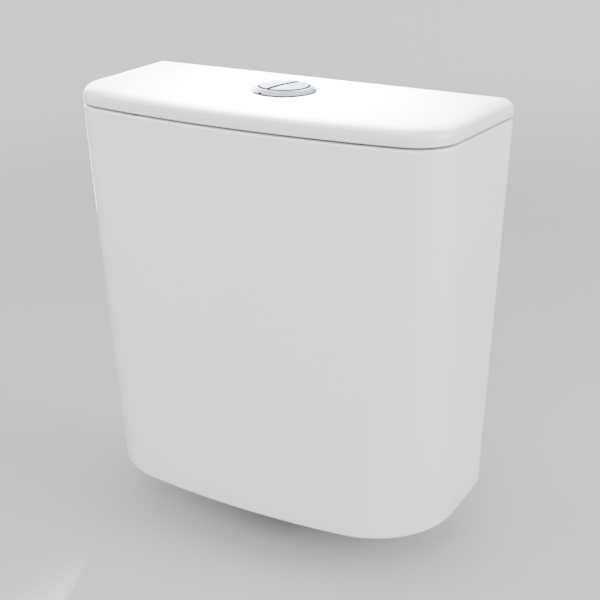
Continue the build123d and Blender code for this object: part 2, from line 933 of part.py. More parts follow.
def fill_cap():
    """Cap that clamps the diaphragm."""
    low = head_top + diaphragm_thickness
    cap = cylinder(diaphragm_radius, low, low + cap_height, fill_offset)
    return fillet(cap.faces().sort_by(Axis.Z)[-1].edges(), cap_round)


def float_cup():
    """Upturned cup that rises with the water round the sleeve."""
    inner = sleeve_tube_radius + cup_clearance
    cup = tube(cup_radius, cup_radius - cup_wall, stop_collar_top, cup_top, fill_offset)
    cup += tube(inner + cup_wall, inner, stop_collar_top, cup_top, fill_offset)
    cup += tube(cup_radius, inner, cup_top - 2 * cup_wall, cup_top, fill_offset)
    boss_top = cup_top + cup_boss_height
    cup += cylinder(cup_boss_radius, cup_top, boss_top, float_rod_x, float_rod_y)
    return cup - cylinder(
        float_rod_radius + thread_fit, cup_top, boss_top + overrun, float_rod_x, float_rod_y
    )


def clip_heights():
    """Undersides of the clips below and above the lever's eye."""
    half_eye = float_lever_thickness / 2 / math.cos(float_tilt) + clip_radius * math.tan(float_tilt)
    room = half_eye + touch_gap + clip_room
    return float_eye_height - room - clip_thickness, float_eye_height + room


def float_rod():
    """Rod from the float's boss up through the lever's eye."""
    top = clip_heights()[1] + 2 * clip_thickness
    return cylinder(float_rod_radius, cup_top, top, float_rod_x, float_rod_y)


def rod_clips():
    """Two clips on the rod, one on each side of the lever's eye."""
    hole = float_rod_radius + thread_fit
    return [
        tube(clip_radius, hole, low, low + clip_thickness, float_rod_x, float_rod_y)
        for low in clip_heights()
    ]


def float_lever():
    """Lever from its pin on the head to a slotted eye round the rod, hanging at rest."""
    half_width = float_lever_width / 2
    half_thickness = float_lever_thickness / 2
    eye_start = float_lever_arm - eye_length / 2
    lever = block(0, eye_start + overrun, -half_width, half_width, -half_thickness, half_thickness)
    lever += cross_cylinder(float_lever_hub_radius, 0, 0, -half_width, half_width)
    lever += block(
        eye_start,
        eye_start + eye_length,
        -eye_width / 2,
        eye_width / 2,
        -half_thickness,
        half_thickness,
    )
    slot_width = 2 * (float_rod_radius + slide_fit)
    slot = extrude(SlotOverall(eye_length - eye_width + slot_width, slot_width), eye_width)
    lever -= Pos(float_lever_arm, 0, -eye_width / 2) * slot
    lever -= cross_cylinder(
        float_pin_radius + pin_fit, 0, 0, -half_width - overrun, half_width + overrun
    )
    place = Pos(float_pivot_x, float_rod_y, float_pivot_height) * Rot(0, float_lever_tilt, 0)
    return place * lever


def float_lever_pin():
    """Headed pin that holds the float lever on the head's block."""
    face = -float_rod_front + float_lever_width / 2 + slide_fit
    outside = -float_rod_front - float_lever_width / 2 - slide_fit
    pin = cross_cylinder(
        float_pin_radius, float_pivot_x, float_pivot_height, outside, face + float_pin_grip
    )
    return pin + cross_cylinder(
        2 * float_pin_radius, float_pivot_x, float_pivot_height, outside - float_pin_head, outside
    )


# Bolts between tank and pan


def coupling_bolts():
    """Two slotted bolts; below the nuts each leaves a free threaded end for the pan."""
    head_low = china_floor + cone_washer_thickness + flat_washer_thickness
    free_end = -flat_washer_thickness - nut_thickness
    bolts = []
    for side in (-1, 1):
        x = side * bolt_spacing / 2
        head = cylinder(bolt_head_radius, head_low, head_low + bolt_head_height, x)
        head = fillet(head.faces().sort_by(Axis.Z)[-1].edges(), bolt_head_height / 2)
        slot_low = head_low + bolt_head_height - bolt_slot_depth
        head -= block(
            x - bolt_head_radius,
            x + bolt_head_radius,
            -bolt_slot_width / 2,
            bolt_slot_width / 2,
            slot_low,
            head_low + bolt_head_height + overrun,
        )
        shank = cylinder(bolt_radius - thread_relief, free_end, head_low, x)
        bolts.append(head + shank + cylinder(bolt_radius, -bolt_length, free_end, x))
    return bolts


def bolt_rubber_washers():
    """Tapered rubber washers that seal the bolt holes from inside the tank."""
    top = china_floor + cone_washer_thickness
    inner = bolt_radius + seal_fit
    washer = turned_outline(
        [
            (inner, china_floor),
            (cone_washer_radius, china_floor),
            (cone_washer_top_radius, top),
            (inner, top),
        ]
    )
    return [Pos(side * bolt_spacing / 2, 0, 0) * washer for side in (-1, 1)]


def bolt_flat_washers(low):
    """Steel washers, one on each bolt."""
    hole = bolt_radius + thread_fit
    high = low + flat_washer_thickness
    return [tube(flat_washer_radius, hole, low, high, side * bolt_spacing / 2) for side in (-1, 1)]


def bolt_nuts():
    """Nuts that clamp the bolts to the tank's floor from below."""
    hole = bolt_radius - thread_relief + thread_fit
    high = -flat_washer_thickness
    low = high - nut_thickness
    return [hex_nut(nut_flats, hole, low, high, side * bolt_spacing / 2) for side in (-1, 1)]


pieces = {
    "cistern_body": cistern_body(),
    "cistern_lid": cistern_lid(),
    "lid_pads": lid_pads(),
    "button_bezel": button_bezel(),
    "bezel_gasket": bezel_gasket(),
    "button_housing": button_housing(),
    "housing_locknut": housing_locknut(),
    "full_flush_button": flush_button(-1),
    "half_flush_button": flush_button(1),
    "full_push_rod": push_rod(-1),
    "half_push_rod": push_rod(1),
    "full_button_spring": button_spring(-1),
    "half_button_spring": button_spring(1),
    "valve_base": valve_base(),
    "valve_base_gasket": valve_base_gasket(),
    "valve_backnut": valve_backnut(),
    "coupling_washer": coupling_washer(),
    "valve_cage": valve_cage(),
    "valve_chamber": valve_chamber(),
    "lever_bracket": lever_bracket(),
    "lever_pins": lever_pins(),
    "overflow_tube": overflow_tube(),
    "seal_washer": seal_washer(),
    "seal_retainer": seal_retainer(),
    "full_float": ring_float(full_float_rise, full_float_height),
    "half_float": ring_float(half_float_rise, half_float_height),
    "lift_yoke": lift_yoke(),
    "full_lever": flush_lever(-1),
    "half_lever": flush_lever(1),
    "half_flush_link": half_flush_link(),
    "fill_riser": fill_riser(),
    "riser_washer": riser_washer(),
    "riser_backnut": riser_backnut(),
    "inlet_filter": inlet_filter(),
    "fill_sleeve": fill_sleeve(),
    "fill_head": fill_head(),
    "fill_diaphragm": fill_diaphragm(),
    "fill_cap": fill_cap(),
    "float_cup": float_cup(),
    "float_rod": float_rod(),
    "rod_clips": rod_clips(),
    "float_lever": float_lever(),
    "float_lever_pin": float_lever_pin(),
    "coupling_bolts": coupling_bolts(),
    "bolt_rubber_washers": bolt_rubber_washers(),
    "bolt_upper_washers": bolt_flat_washers(china_floor + cone_washer_thickness),
    "bolt_lower_washers": bolt_flat_washers(-flat_washer_thickness),
    "bolt_nuts": bolt_nuts(),
}

os.makedirs("parts", exist_ok=True)
for name, piece in pieces.items():
    shape = Compound(piece) if isinstance(piece, list) else piece
    export_step(shape, f"parts/{name}.step")
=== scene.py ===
import json
import math

import bmesh
import bpy
import numpy as np
from mathutils import Matrix, Vector

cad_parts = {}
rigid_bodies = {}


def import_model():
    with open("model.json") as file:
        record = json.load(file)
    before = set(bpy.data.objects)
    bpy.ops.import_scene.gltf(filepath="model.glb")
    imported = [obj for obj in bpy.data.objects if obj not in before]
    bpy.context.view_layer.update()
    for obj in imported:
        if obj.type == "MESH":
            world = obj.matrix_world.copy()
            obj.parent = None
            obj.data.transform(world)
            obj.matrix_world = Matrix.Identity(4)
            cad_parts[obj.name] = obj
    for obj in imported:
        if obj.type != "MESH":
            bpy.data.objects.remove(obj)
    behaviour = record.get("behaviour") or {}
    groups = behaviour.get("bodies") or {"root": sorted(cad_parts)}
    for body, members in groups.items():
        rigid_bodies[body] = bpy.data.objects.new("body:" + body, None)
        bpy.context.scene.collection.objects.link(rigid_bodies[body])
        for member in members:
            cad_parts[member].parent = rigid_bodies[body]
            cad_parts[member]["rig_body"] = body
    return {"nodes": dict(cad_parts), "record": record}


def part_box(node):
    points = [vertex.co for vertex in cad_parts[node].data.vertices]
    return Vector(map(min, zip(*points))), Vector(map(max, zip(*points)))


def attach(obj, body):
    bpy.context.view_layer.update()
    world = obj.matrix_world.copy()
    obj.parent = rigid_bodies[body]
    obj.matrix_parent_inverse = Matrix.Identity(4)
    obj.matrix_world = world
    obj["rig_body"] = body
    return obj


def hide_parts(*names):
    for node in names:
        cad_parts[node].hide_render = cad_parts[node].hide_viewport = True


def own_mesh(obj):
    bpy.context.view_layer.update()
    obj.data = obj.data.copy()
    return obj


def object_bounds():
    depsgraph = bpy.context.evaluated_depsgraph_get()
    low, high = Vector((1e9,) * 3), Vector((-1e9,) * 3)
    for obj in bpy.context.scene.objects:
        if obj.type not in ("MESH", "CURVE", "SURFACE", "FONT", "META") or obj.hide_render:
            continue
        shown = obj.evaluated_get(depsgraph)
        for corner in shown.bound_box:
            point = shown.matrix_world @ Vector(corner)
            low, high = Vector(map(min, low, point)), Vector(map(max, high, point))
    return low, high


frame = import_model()

# Looks for a close-coupled toilet cistern, in metres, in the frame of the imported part: origin on
# the outlet's axis at the tank's underside, +X right, +Y towards the wall, +Z up.

mm = 0.001
nodes = frame["nodes"]
cad_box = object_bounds()


def heights(node):
    """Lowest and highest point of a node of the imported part."""
    low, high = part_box(node)
    return low[2], high[2]


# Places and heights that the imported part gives
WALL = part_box("cistern_body")[1][1]
TANK_HEIGHT = heights("cistern_body")[1]
LID_BASE = heights("lid_pads")[1]
LID_TOP, BEZEL_BASE = heights("bezel_gasket")
TAIL_END, SEAT_TOP = heights("valve_base")
INLET_END, RISER_TOP = heights("fill_riser")
BOLT_END, BOLT_TOP = heights("coupling_bolts")
FLANGE_BASE = heights("valve_base_gasket")[1]
BOLT_HEAD_BASE = heights("bolt_upper_washers")[1]
COUPLING_LOW, COUPLING_HIGH = heights("coupling_washer")

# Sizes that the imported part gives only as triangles. A plan holds half the front's width, half the
# back's, the depth at the sides, the front's bow, and the radius of the front and back corners.
CHINA_WALL = 10.0 * mm
CHINA_FLOOR = 12.0 * mm
TOP_PLAN = np.array([183.0, 190.0, 150.0, 16.8, 40.0, 10.0]) * mm
FOOT_PLAN = np.array([180.0, 178.0, 145.0, 19.8, 84.0, 10.0]) * mm
RIM_ROUND = 2.5 * mm
RIM_INNER_ROUND = 2.0 * mm
FOOT_ROUND = 4.0 * mm
FLOOR_ROUND = 6.0 * mm
LEAST_CORNER = 8.0 * mm  # to which the corners inside the wall shrink at most
RIM_SEAM_SHADE = 0.25 * mm  # how far the bare clay, made darker as the seam's painted shade, reaches down the rim's rounding

LID_EDGE_ROUND = 10.9 * mm
LID_LOWER_ROUND = 1.2 * mm
LID_LEAST_CORNER = 1.0 * mm
LID_RECESS = 6.3 * mm
LID_RIB_INSET = 12.5 * mm
LID_RIB_WIDTH = 6.0 * mm
LID_RIB_DEPTH = 8.0 * mm
LID_RIB_ROUND = 1.5 * mm
LID_HOLE = 25.5 * mm
LID_SEAM_SHADE = 0.65 * mm  # how far the bare clay, made darker as the seam's painted shade, reaches up the lid's lower rounding
ROUND_MIDDLE = 0.3  # where the middle of a three-point rounding lies, as a share of its radius

OUTLET_HOLE = 32.0 * mm
INLET_HOLE = 11.5 * mm
BOLT_HOLE = 6.0 * mm
SCREW_HOLE = 4.0 * mm
INLET_X = -118.0 * mm
BOLT_X = 80.0 * mm
BOLT_PLACES = [(-BOLT_X, 0.0), (BOLT_X, 0.0)]
SCREW_X = 120.0 * mm
SCREW_HEIGHT = 330.0 * mm

# Bezel
BEZEL_RADIUS = 29.25 * mm
BEZEL_BORE = 23.4 * mm
BEZEL_EDGE = 0.7 * mm
BEZEL_RISE = 4.0 * mm
BEZEL_CROWN_SHARE = 0.62  # of the rise above the edge, reached halfway
BEZEL_ROUND = 0.35 * mm
NOTCH_ANGLE = math.radians(-107.6)
NOTCH_WIDTH = 3.2 * mm
NOTCH_DEPTH = 2.0 * mm
NOTCH_HEIGHT = 1.5 * mm
NOTCH_SOFT = 0.3 * mm  # over which the notch's sides run out
SHADOW_LINE = 0.6 * mm  # height of the band round the bezel's foot painted dark as the crevice's shade

# Buttons, their split, and what is under them
BUTTON_RADIUS = 22.0 * mm
BUTTON_LIFT = 0.8 * mm  # the disc's edge above the bezel's lip
BUTTON_EDGE = BEZEL_BASE + BEZEL_RISE + BUTTON_LIFT
BUTTON_DOME = 0.8 * mm
BUTTON_PLATE = 2.4 * mm
BUTTON_BASE = BUTTON_EDGE - BUTTON_PLATE
BUTTON_RIM = 0.15 * mm  # round of the disc's outer edge
LEAST_STRIP = 0.02 * mm  # the half disc's width where the split meets its rim
HALF_DIP = 0.7 * mm  # how far the right half dips at the split
DIP_WIDTH = 8.0 * mm  # from the split to the end of the dip

SPLIT_GAP = 0.8 * mm
SPLIT_BEVEL = 1.4 * mm  # width of the bevel along the split, painted dark as its shade, at the disc's middle
BEVEL_GROWTH = 0.2  # its change towards the back, as a share
SPLIT_SWAY = 0.19 * BUTTON_RADIUS
SPLIT_CURL = 0.75
SPLIT_BOW = 0.8 * mm
SPLIT_SHIFT = -0.5 * mm

SKIRT_LOW = BUTTON_BASE - 8.0 * mm
SKIRT_WALL = 1.2 * mm
SKIRT_INSET = 0.02 * mm
SKIRT_LIP = 1.0 * mm
SKIRT_ROUND = 0.3 * mm
SKIRT_LIP_TOP = BEZEL_BASE - 0.3 * mm
WALL_END = 1.5 * mm  # from the disc's edge to the end of the wall along the split
ROD_X = 9.0 * mm
BOSS_BORE = 2.6 * mm
BOSS_RADIUS = 4.2 * mm
BOSS_ROUND = 0.4 * mm
SPRING_WIRE = 0.45 * mm  # half the wire's thickness
SPRING_TURNS = 6.5
SPRING_FLAT = 0.12  # share of the wire in each flat end turn

# Flush valve's tail, fill valve's inlet and the bolts: a thread's name is its outer radius
FLANGE_TOP = FLANGE_BASE + 4.0 * mm
TAIL_THREAD = 29.8 * mm
TAIL_THREAD_TOP = -30.0 * mm
TAIL_CORE = 29.4 * mm
TAIL_BORE = 23.0 * mm
TAIL_FLANGE = 39.0 * mm
SEAT_RADIUS = 26.5 * mm
SEAT_BORE = 23.5 * mm
TAIL_PITCH = 2.309 * mm
TAIL_THREAD_DEPTH = 1.2 * mm

INLET_THREAD = 10.48 * mm
INLET_THREAD_TOP = -9.0 * mm
INLET_CORE = 10.08 * mm
INLET_BORE = 7.0 * mm
INLET_BORE_TOP = -20.0 * mm
INLET_FLANGE = 18.0 * mm
RISER_RADIUS = 9.0 * mm
RISER_BORE = 6.0 * mm
INLET_PITCH = 1.814 * mm
INLET_THREAD_DEPTH = 0.9 * mm

BOLT_THREAD = 4.0 * mm
BOLT_THREAD_TOP = -8.1 * mm
BOLT_CORE = 3.6 * mm
BOLT_SHOULDER = 0.2 * mm
BOLT_HEAD = 8.5 * mm
BOLT_HEAD_SIDE = 20.2 * mm
BOLT_CROWN = 6.6 * mm
BOLT_CROWN_SIDE = 22.4 * mm
BOLT_PITCH = 1.25 * mm
BOLT_THREAD_DEPTH = 0.6 * mm
AXIS = 0.02 * mm  # radius that stands for the axis of a solid turned piece

# Ring between tank and pan, and the nuts
COUPLING_BORE = 30.1 * mm
COUPLING_RADIUS = 45.0 * mm
COUPLING_TIP = 38.0 * mm
COUPLING_SHOULDER = -21.0 * mm
TAIL_NUT_BORE = 29.45 * mm
INLET_NUT_BORE = 10.13 * mm
BOLT_NUT_BORE = 3.65 * mm
NUT_CHAMFER = 0.55  # the chamfer's fall per length outwards
NUT_FACE = 0.97  # the flat face's radius, as a share of half the width across flats
NUT_ROUND = 0.04  # the bore's round, as a share of the width across flats
NUT_EDGE = 0.006  # the chamfer's least fall, as the same share

# Where the camera stands, worked out from the outline, the seam and the bezel in the photograph,
# with its angles in degrees
CAMERA_AZIMUTH = 29.52
CAMERA_ELEVATION = 21.51
CAMERA_DISTANCE = 1.133
CAMERA_TARGET = Vector((8.7, 13.0, 180.5)) * mm
CAMERA_LENS = 71.1

# Stage
FLOOR_DEPTH = 6.0
FLOOR_WIDTH = 7.0
FLOOR_BEND = 2.0  # distance behind the object where the floor starts to rise
FLOOR_RISE = 0.25
LID_MIDDLE = 0.08  # from the wall to the middle of the lid
COOL_LIGHT = (0.78, 0.89, 1.0)
SURROUND_LIGHT = 1.65


# Shader values


class Wire:
    """One shader socket; arithmetic on it adds Math nodes."""

    def __init__(self, tree, socket):
        self.tree = tree
        self.socket = socket

    def _math(self, operation, first, second):
        return self.tree.node("ShaderNodeMath", {"operation": operation}, [first, second])

    def __add__(self, other):
        return self._math("ADD", self, other)

    def __radd__(self, other):
        return self._math("ADD", other, self)

    def __mul__(self, other):
        return self._math("MULTIPLY", self, other)

    def __rmul__(self, other):
        return self._math("MULTIPLY", other, self)

    def above(self, low, high):
        """0 up to low, 1 from high, smooth between."""
        settings = {"interpolation_type": "SMOOTHSTEP"}
        return self.tree.node("ShaderNodeMapRange", settings, {0: self, 1: low, 2: high})


class Finish:
    """A material under construction: one Principled shader and the nodes that feed it."""

    def __init__(self, name):
        self.material = bpy.data.materials.new(name)
        self.material.use_nodes = True
        self.links = self.material.node_tree.links
        self.all = self.material.node_tree.nodes
        self.shader = self.all["Principled BSDF"]

    def node(self, kind, settings=None, values=None, output=0):
        """Adds one node: its settings, then the values or wires of its inputs."""
        made = self.all.new(kind)
        for key, value in (settings or {}).items():
            setattr(made, key, value)
        pairs = values.items() if isinstance(values, dict) else enumerate(values or [])
        for key, value in pairs:
            self.feed(made.inputs[key], value)
        return Wire(self, made.outputs[output])

    def feed(self, socket, value):
        """Links a wire to the socket, or sets the socket to the value."""
        if isinstance(value, Wire):
            self.links.new(value.socket, socket)
        else:
            socket.default_value = value

    def set(self, **inputs):
        """Sets the shader's inputs by name, with spaces written as underscores."""
        for key, value in inputs.items():
            self.feed(self.shader.inputs[key.replace("_", " ")], value)

    def place(self):
        """Place on the piece, in metres: the Object output of Texture Coordinate."""
        return self.node("ShaderNodeTexCoord", output=3)

    def noise(self, scale, detail=2.0, roughness=0.5):
        """Soft cloud pattern from 0 to 1, its scale in features per metre."""
        values = {"Vector": self.place(), "Scale": scale, "Detail": detail, "Roughness": roughness}
        return self.node("ShaderNodeTexNoise", None, values)

    def specks(self, scale):
        """Distance to the nearest scattered point, in cells."""
        return self.node("ShaderNodeTexVoronoi", None, {"Vector": self.place(), "Scale": scale})

    def blend(self, share, first, second):
        """From the first colour to the second as the share goes from 0 to 1."""
        made = self.all.new("ShaderNodeMix")
        made.data_type = "RGBA"
        self.feed(made.inputs["Factor"], share)
        for key, colour in ((6, first), (7, second)):
            self.feed(made.inputs[key], colour)
        return Wire(self, made.outputs[2])

    def bump(self, height, strength, distance):
        """Feeds the normal from a height pattern; the distance is in metres."""
        values = {"Strength": strength, "Distance": distance, "Height": height}
        self.set(Normal=self.node("ShaderNodeBump", None, values))


def rgba(red, green, blue):
    """Opaque colour, in linear light."""
    return (red, green, blue, 1.0)


def glaze():
    """Gloss white glaze: a faint drift of tone and the slow waves that glaze dries with."""
    made = Finish("white_glaze")
    drift = made.noise(scale=9.0, detail=3.0)
    tone = made.blend(drift, rgba(0.83, 0.833, 0.838), rgba(0.87, 0.87, 0.87))
    made.set(Base_Color=tone, Roughness=0.16 + 0.1 * made.noise(scale=30.0))
    made.set(Coat_Weight=0.6, Coat_Roughness=0.08, Specular_IOR_Level=0.5)
    ripples = made.noise(scale=140.0, detail=2.0)
    waves = made.noise(scale=26.0, detail=1.0) + 0.25 * ripples
    made.bump(waves, strength=0.05, distance=0.004)
    return made.material


def clay_and_seam_shade():
    """Unglazed fired clay where lid and tank meet, fine grained, darkened as the seam's painted
    shade.
    """
    made = Finish("clay_and_seam_shade")
    grain = made.noise(scale=800.0, detail=4.0)
    made.set(Base_Color=made.blend(grain, rgba(0.64, 0.635, 0.625), rgba(0.72, 0.714, 0.702)))
    made.set(Roughness=0.8 + 0.15 * grain, Specular_IOR_Level=0.2)
    made.bump(grain, strength=0.3, distance=0.0003)
    return made.material


def chrome():
    """Bright plated plastic, slightly blue, with faint haze and fine rub marks."""
    made = Finish("bright_plate")
    haze = made.noise(scale=120.0, detail=3.0)
    made.set(Base_Color=made.blend(haze, rgba(0.70, 0.78, 0.92), rgba(0.76, 0.84, 0.97)))
    made.set(Metallic=1.0, Roughness=0.16 + 0.1 * made.noise(scale=700.0, detail=3.0))
    made.bump(made.noise(scale=300.0, detail=2.0), strength=0.03, distance=0.0005)
    return made.material


def moulded(name, dark, light):
    """Moulded plastic: a soft drift of colour, spark-eroded grain and slight flow marks."""
    made = Finish(name)
    drift = made.noise(scale=40.0, detail=3.0)
    made.set(Base_Color=made.blend(drift, rgba(*dark), rgba(*light)))
    made.set(Roughness=0.38 + 0.14 * made.noise(scale=260.0, detail=3.0))
    grain, flow = made.noise(scale=2400.0, detail=2.0), made.noise(scale=180.0)
    made.bump(grain + 0.5 * flow, strength=0.12, distance=0.0002)
    return made.material


def painted_gap_shade():
    """Near-black painted shade in the gaps round the buttons: dull, with a faint dust."""
    made = Finish("painted_shade")
    dust = made.noise(scale=900.0, detail=3.0)
    made.set(Base_Color=made.blend(dust, rgba(0.003, 0.003, 0.003), rgba(0.008, 0.008, 0.008)))
    made.set(Roughness=0.7 + 0.2 * dust, Specular_IOR_Level=0.0)
    return made.material


def rubber(name, dark, light):
    """Moulded rubber with a dusty bloom and a fine skin."""
    made = Finish(name)
    bloom = made.noise(scale=90.0, detail=5.0, roughness=0.65).above(0.4, 0.75)
    made.set(Base_Color=made.blend(bloom, rgba(*dark), rgba(*light)))
    made.set(Roughness=0.62 + 0.22 * bloom)
    made.bump(made.noise(scale=1500.0, detail=3.0), strength=0.25, distance=0.0003)
    return made.material


def plated_steel():
    """Zinc-plated steel: a fine grain and a mottled shine."""
    made = Finish("plated_steel")
    mottle = made.specks(scale=420.0)
    made.set(Base_Color=made.blend(mottle, rgba(0.5, 0.5, 0.51), rgba(0.68, 0.68, 0.67)))
    made.set(Metallic=1.0, Roughness=0.26 + 0.2 * made.noise(scale=800.0, detail=4.0))
    made.bump(made.noise(scale=1800.0, detail=3.0), strength=0.15, distance=0.0002)
    return made.material


def turned_brass():
    """Turned brass with light tarnish."""
    made = Finish("turned_brass")
    tarnish = made.noise(scale=220.0, detail=4.0).above(0.42, 0.7)
    made.set(Base_Color=made.blend(tarnish, rgba(0.74, 0.54, 0.26), rgba(0.5, 0.36, 0.18)))
    made.set(Metallic=1.0, Roughness=0.28 + 0.18 * tarnish)
    made.bump(made.noise(scale=1600.0, detail=2.0), strength=0.12, distance=0.0002)
    return made.material


finishes = {
    "china": glaze(),
    "chrome": chrome(),
    "pad_rubber": rubber("grey_rubber", (0.13, 0.13, 0.13), (0.17, 0.17, 0.165)),
    "black_rubber": rubber("black_rubber", (0.018, 0.018, 0.019), (0.05, 0.05, 0.052)),
    "red_rubber": rubber("red_rubber", (0.42, 0.07, 0.045), (0.5, 0.12, 0.08)),
    "white_plastic": moulded("white_plastic", (0.74, 0.74, 0.72), (0.82, 0.82, 0.8)),
    "grey_plastic": moulded("grey_plastic", (0.3, 0.32, 0.34), (0.37, 0.39, 0.41)),
    "blue_plastic": moulded("blue_plastic", (0.05, 0.17, 0.42), (0.075, 0.21, 0.5)),
    "green_plastic": moulded("green_plastic", (0.07, 0.28, 0.17), (0.1, 0.34, 0.21)),
    "steel": plated_steel(),
    "brass": turned_brass(),
    # near-black painted shade for the gaps round the buttons and the bezel
    "painted_shade": painted_gap_shade(),
    "clay_and_seam_shade": clay_and_seam_shade(),
}
slot_of = {part["node"]: part["material_slot"] for part in frame["record"]["subparts"]}
body_of = {name: node["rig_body"] for name, node in nodes.items()}
for name, node in nodes.items():
    node.data.materials.clear()
    node.data.materials.append(finishes[slot_of[name]])


# Surfaces


def placed(name, data):
    """New object in the scene, at the origin."""
    made = bpy.data.objects.new(name, data)
    bpy.context.scene.collection.objects.link(made)
    return made


def surface(name, node, shells, smooth_angle=40.0, holes=(), apart=None, second="painted_shade"):
    """Mesh of closed shells, each (points, faces), that stands for a CAD node and rides with it.

    Holes are straight cylinders cut through it: (place, axis, radius, half length). Where apart
    is given, it takes the faces' centres and normals and says which have the second finish; by
    default that is the near-black painted shade of the gaps.
    """
    points, faces, first = [], [], 0
    for shell_points, shell_faces in shells:
        points.append(shell_points.reshape(-1, 3))
        faces += [[corner + first for corner in face] for face in shell_faces]
        first += len(points[-1])
    mesh = bpy.data.meshes.new(name)
    mesh.from_pydata(np.concatenate(points).tolist(), [], faces)
    shape = bmesh.new()
    shape.from_mesh(mesh)
    bmesh.ops.recalc_face_normals(shape, faces=shape.faces)
    shape.to_mesh(mesh)
    shape.free()
    piece = placed(name, mesh)
    for hole in holes:
        mesh = drilled(piece, *hole)
    mesh.materials.append(finishes[slot_of[node]])
    if apart is not None:
        mesh.materials.append(finishes[second])
        centres, normals = np.empty((2, len(mesh.polygons) * 3))
        mesh.polygons.foreach_get("center", centres)
        mesh.polygons.foreach_get("normal", normals)
        chosen = apart(centres.reshape(-1, 3), normals.reshape(-1, 3))
        mesh.polygons.foreach_set("material_index", chosen.astype(np.int32))
    mesh.shade_smooth()
    mesh.set_sharp_from_angle(angle=math.radians(smooth_angle))
    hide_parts(node)
    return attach(piece, body_of[node])


def drilled(piece, place, axis, radius, half_length):
    """Cuts one round hole through the piece and returns its new mesh."""
    cutter_mesh = bpy.data.meshes.new("cutter")
    shape = bmesh.new()
    turn = Vector((0, 0, 1)).rotation_difference(Vector(axis)).to_matrix().to_4x4()
    matrix = Matrix.Translation(place) @ turn
    bmesh.ops.create_cone(
        shape,
        cap_ends=True,
        segments=64,
        radius1=radius,
        radius2=radius,
        depth=2 * half_length,
        matrix=matrix,
    )
    shape.to_mesh(cutter_mesh)
    shape.free()
    cutter = placed("cutter", cutter_mesh)
    cut = piece.modifiers.new("hole", "BOOLEAN")
    cut.object = cutter
    cut.solver = "EXACT"
    evaluated = piece.evaluated_get(bpy.context.evaluated_depsgraph_get())
    mesh = bpy.data.meshes.new_from_object(evaluated)
    piece.modifiers.clear()
    piece.data = mesh
    bpy.data.objects.remove(cutter)
    return mesh


def grid_faces(points, rows_close=True, columns_close=True):
    """Quads of a grid of points; where rows or columns close, the last joins the first."""
    rows, columns = points.shape[:2]
    row = np.arange(rows if rows_close else rows - 1)[:, None]
    column = np.arange(columns if columns_close else columns - 1)[None, :]
    below, beside = (row + 1) % rows, (column + 1) % columns
    corners = [
        row * columns + column,
        row * columns + beside,
        below * columns + beside,
        below * columns + column,
    ]
    return np.stack(corners, axis=-1).reshape(-1, 4).tolist()


def capped_faces(points):
    """Quads of rows that close, on columns that don't, and one face at each open end."""
    rows, columns = points.shape[:2]
    ring = np.arange(rows) * columns
    ends = [ring.tolist(), (ring + columns - 1)[::-1].tolist()]
    return grid_faces(points, columns_close=False) + ends


def round_points(radius, height, angle, centre=(0.0, 0.0)):
    """Points at the radius and height, turned by the angle round an upright axis."""
    x, y = centre[0] + radius * np.cos(angle), centre[1] + radius * np.sin(angle)
    return np.stack(np.broadcast_arrays(x, y, height), axis=-1)


def arc(centre, radius, start, end, steps):
    """Points on arcs, one row per centre: centre + radius * (cos, sin) from start to end."""
    share = np.linspace(0.0, 1.0, steps)[None, :]
    angle = start + (end - start) * share
    return np.stack([centre[0] + radius * np.cos(angle), centre[1] + radius * np.sin(angle)], -1)


def between(start, end, steps):
    """Points on straight lines, one row per pair of ends."""
    share = np.linspace(0, 1, steps)[None, :, None]
    return start + share * (end - start)


def plan_rows(sizes, inset, least):
    """Outlines of the tank's plan, one row per inset, going round from the front's middle.

    The bowed front is an arc through half_front with its own bow; the front corner's centre lies
    one corner radius inside the side line and inside that arc; the side runs straight to the
    back corner, whose centre lies one radius inside the side and inside the wall's line. The
    left half mirrors the right one.
    """
    half_front, half_back, depth, bow, front_radius, back_radius = sizes.T[:, :, None]
    inset = inset[:, None]
    outer = (half_front**2 + bow**2) / (2 * bow)
    arc_y = WALL - depth - bow + outer
    arc_radius = outer - inset
    front_radius = np.maximum(front_radius - inset, least)
    back_radius = np.maximum(back_radius - inset, least)
    run_x, run_y = half_back - half_front, depth
    run = np.hypot(run_x, run_y)
    side_x, side_y = run_x / run, run_y / run
    out_x, out_y = side_y, -side_x
    base_x = half_front - out_x * (inset + front_radius)
    base_y = WALL - depth - out_y * (inset + front_radius) - arc_y
    along = base_x * side_x + base_y * side_y
    across = base_x**2 + base_y**2 - along**2
    step = -along - np.sqrt((arc_radius - front_radius) ** 2 - across)
    front_x, front_y = base_x + side_x * step, base_y + side_y * step + arc_y
    base_x = half_front - out_x * (inset + back_radius)
    base_y = WALL - depth - out_y * (inset + back_radius)
    step = (WALL - inset - back_radius - base_y) / side_y
    back_x, back_y = base_x + side_x * step, base_y + side_y * step

    down = np.full_like(inset, -math.pi / 2)
    join = np.arctan2(front_y - arc_y, front_x)
    outward = np.arctan2(out_y, out_x)
    zero = np.zeros_like(inset)
    bowed = arc((zero, arc_y), arc_radius, down, join, steps=72)
    corner = arc((front_x, front_y), front_radius, join, outward, steps=48)
    rear = arc((back_x, back_y), back_radius, outward, -down, steps=20)
    middle = np.stack([zero, WALL - inset], -1)
    side = between(corner[:, -1:], rear[:, :1], steps=14)
    wall = between(rear[:, -1:], middle, steps=20)
    right = np.concatenate([bowed, corner[:, 1:], side[:, 1:], rear[:, 1:], wall[:, 1:]], axis=1)
    left = right[:, -2:0:-1] * np.array([-1.0, 1.0])
    return np.concatenate([right, left], axis=1)


def quarter(radius, steps=9):
    """(inset, rise) along a quarter circle: radius * (1 - sin), radius * (1 - cos)."""
    angle = np.linspace(0, math.pi / 2, steps)
    return np.stack([radius * (1 - np.sin(angle)), radius * (1 - np.cos(angle))], -1)


def straight(start, end, steps=24):
    """(inset, height) steps between two pairs, both ends left out."""
    share = np.linspace(0, 1, steps + 2)[1:-1, None]
    return start + share * (end - start)


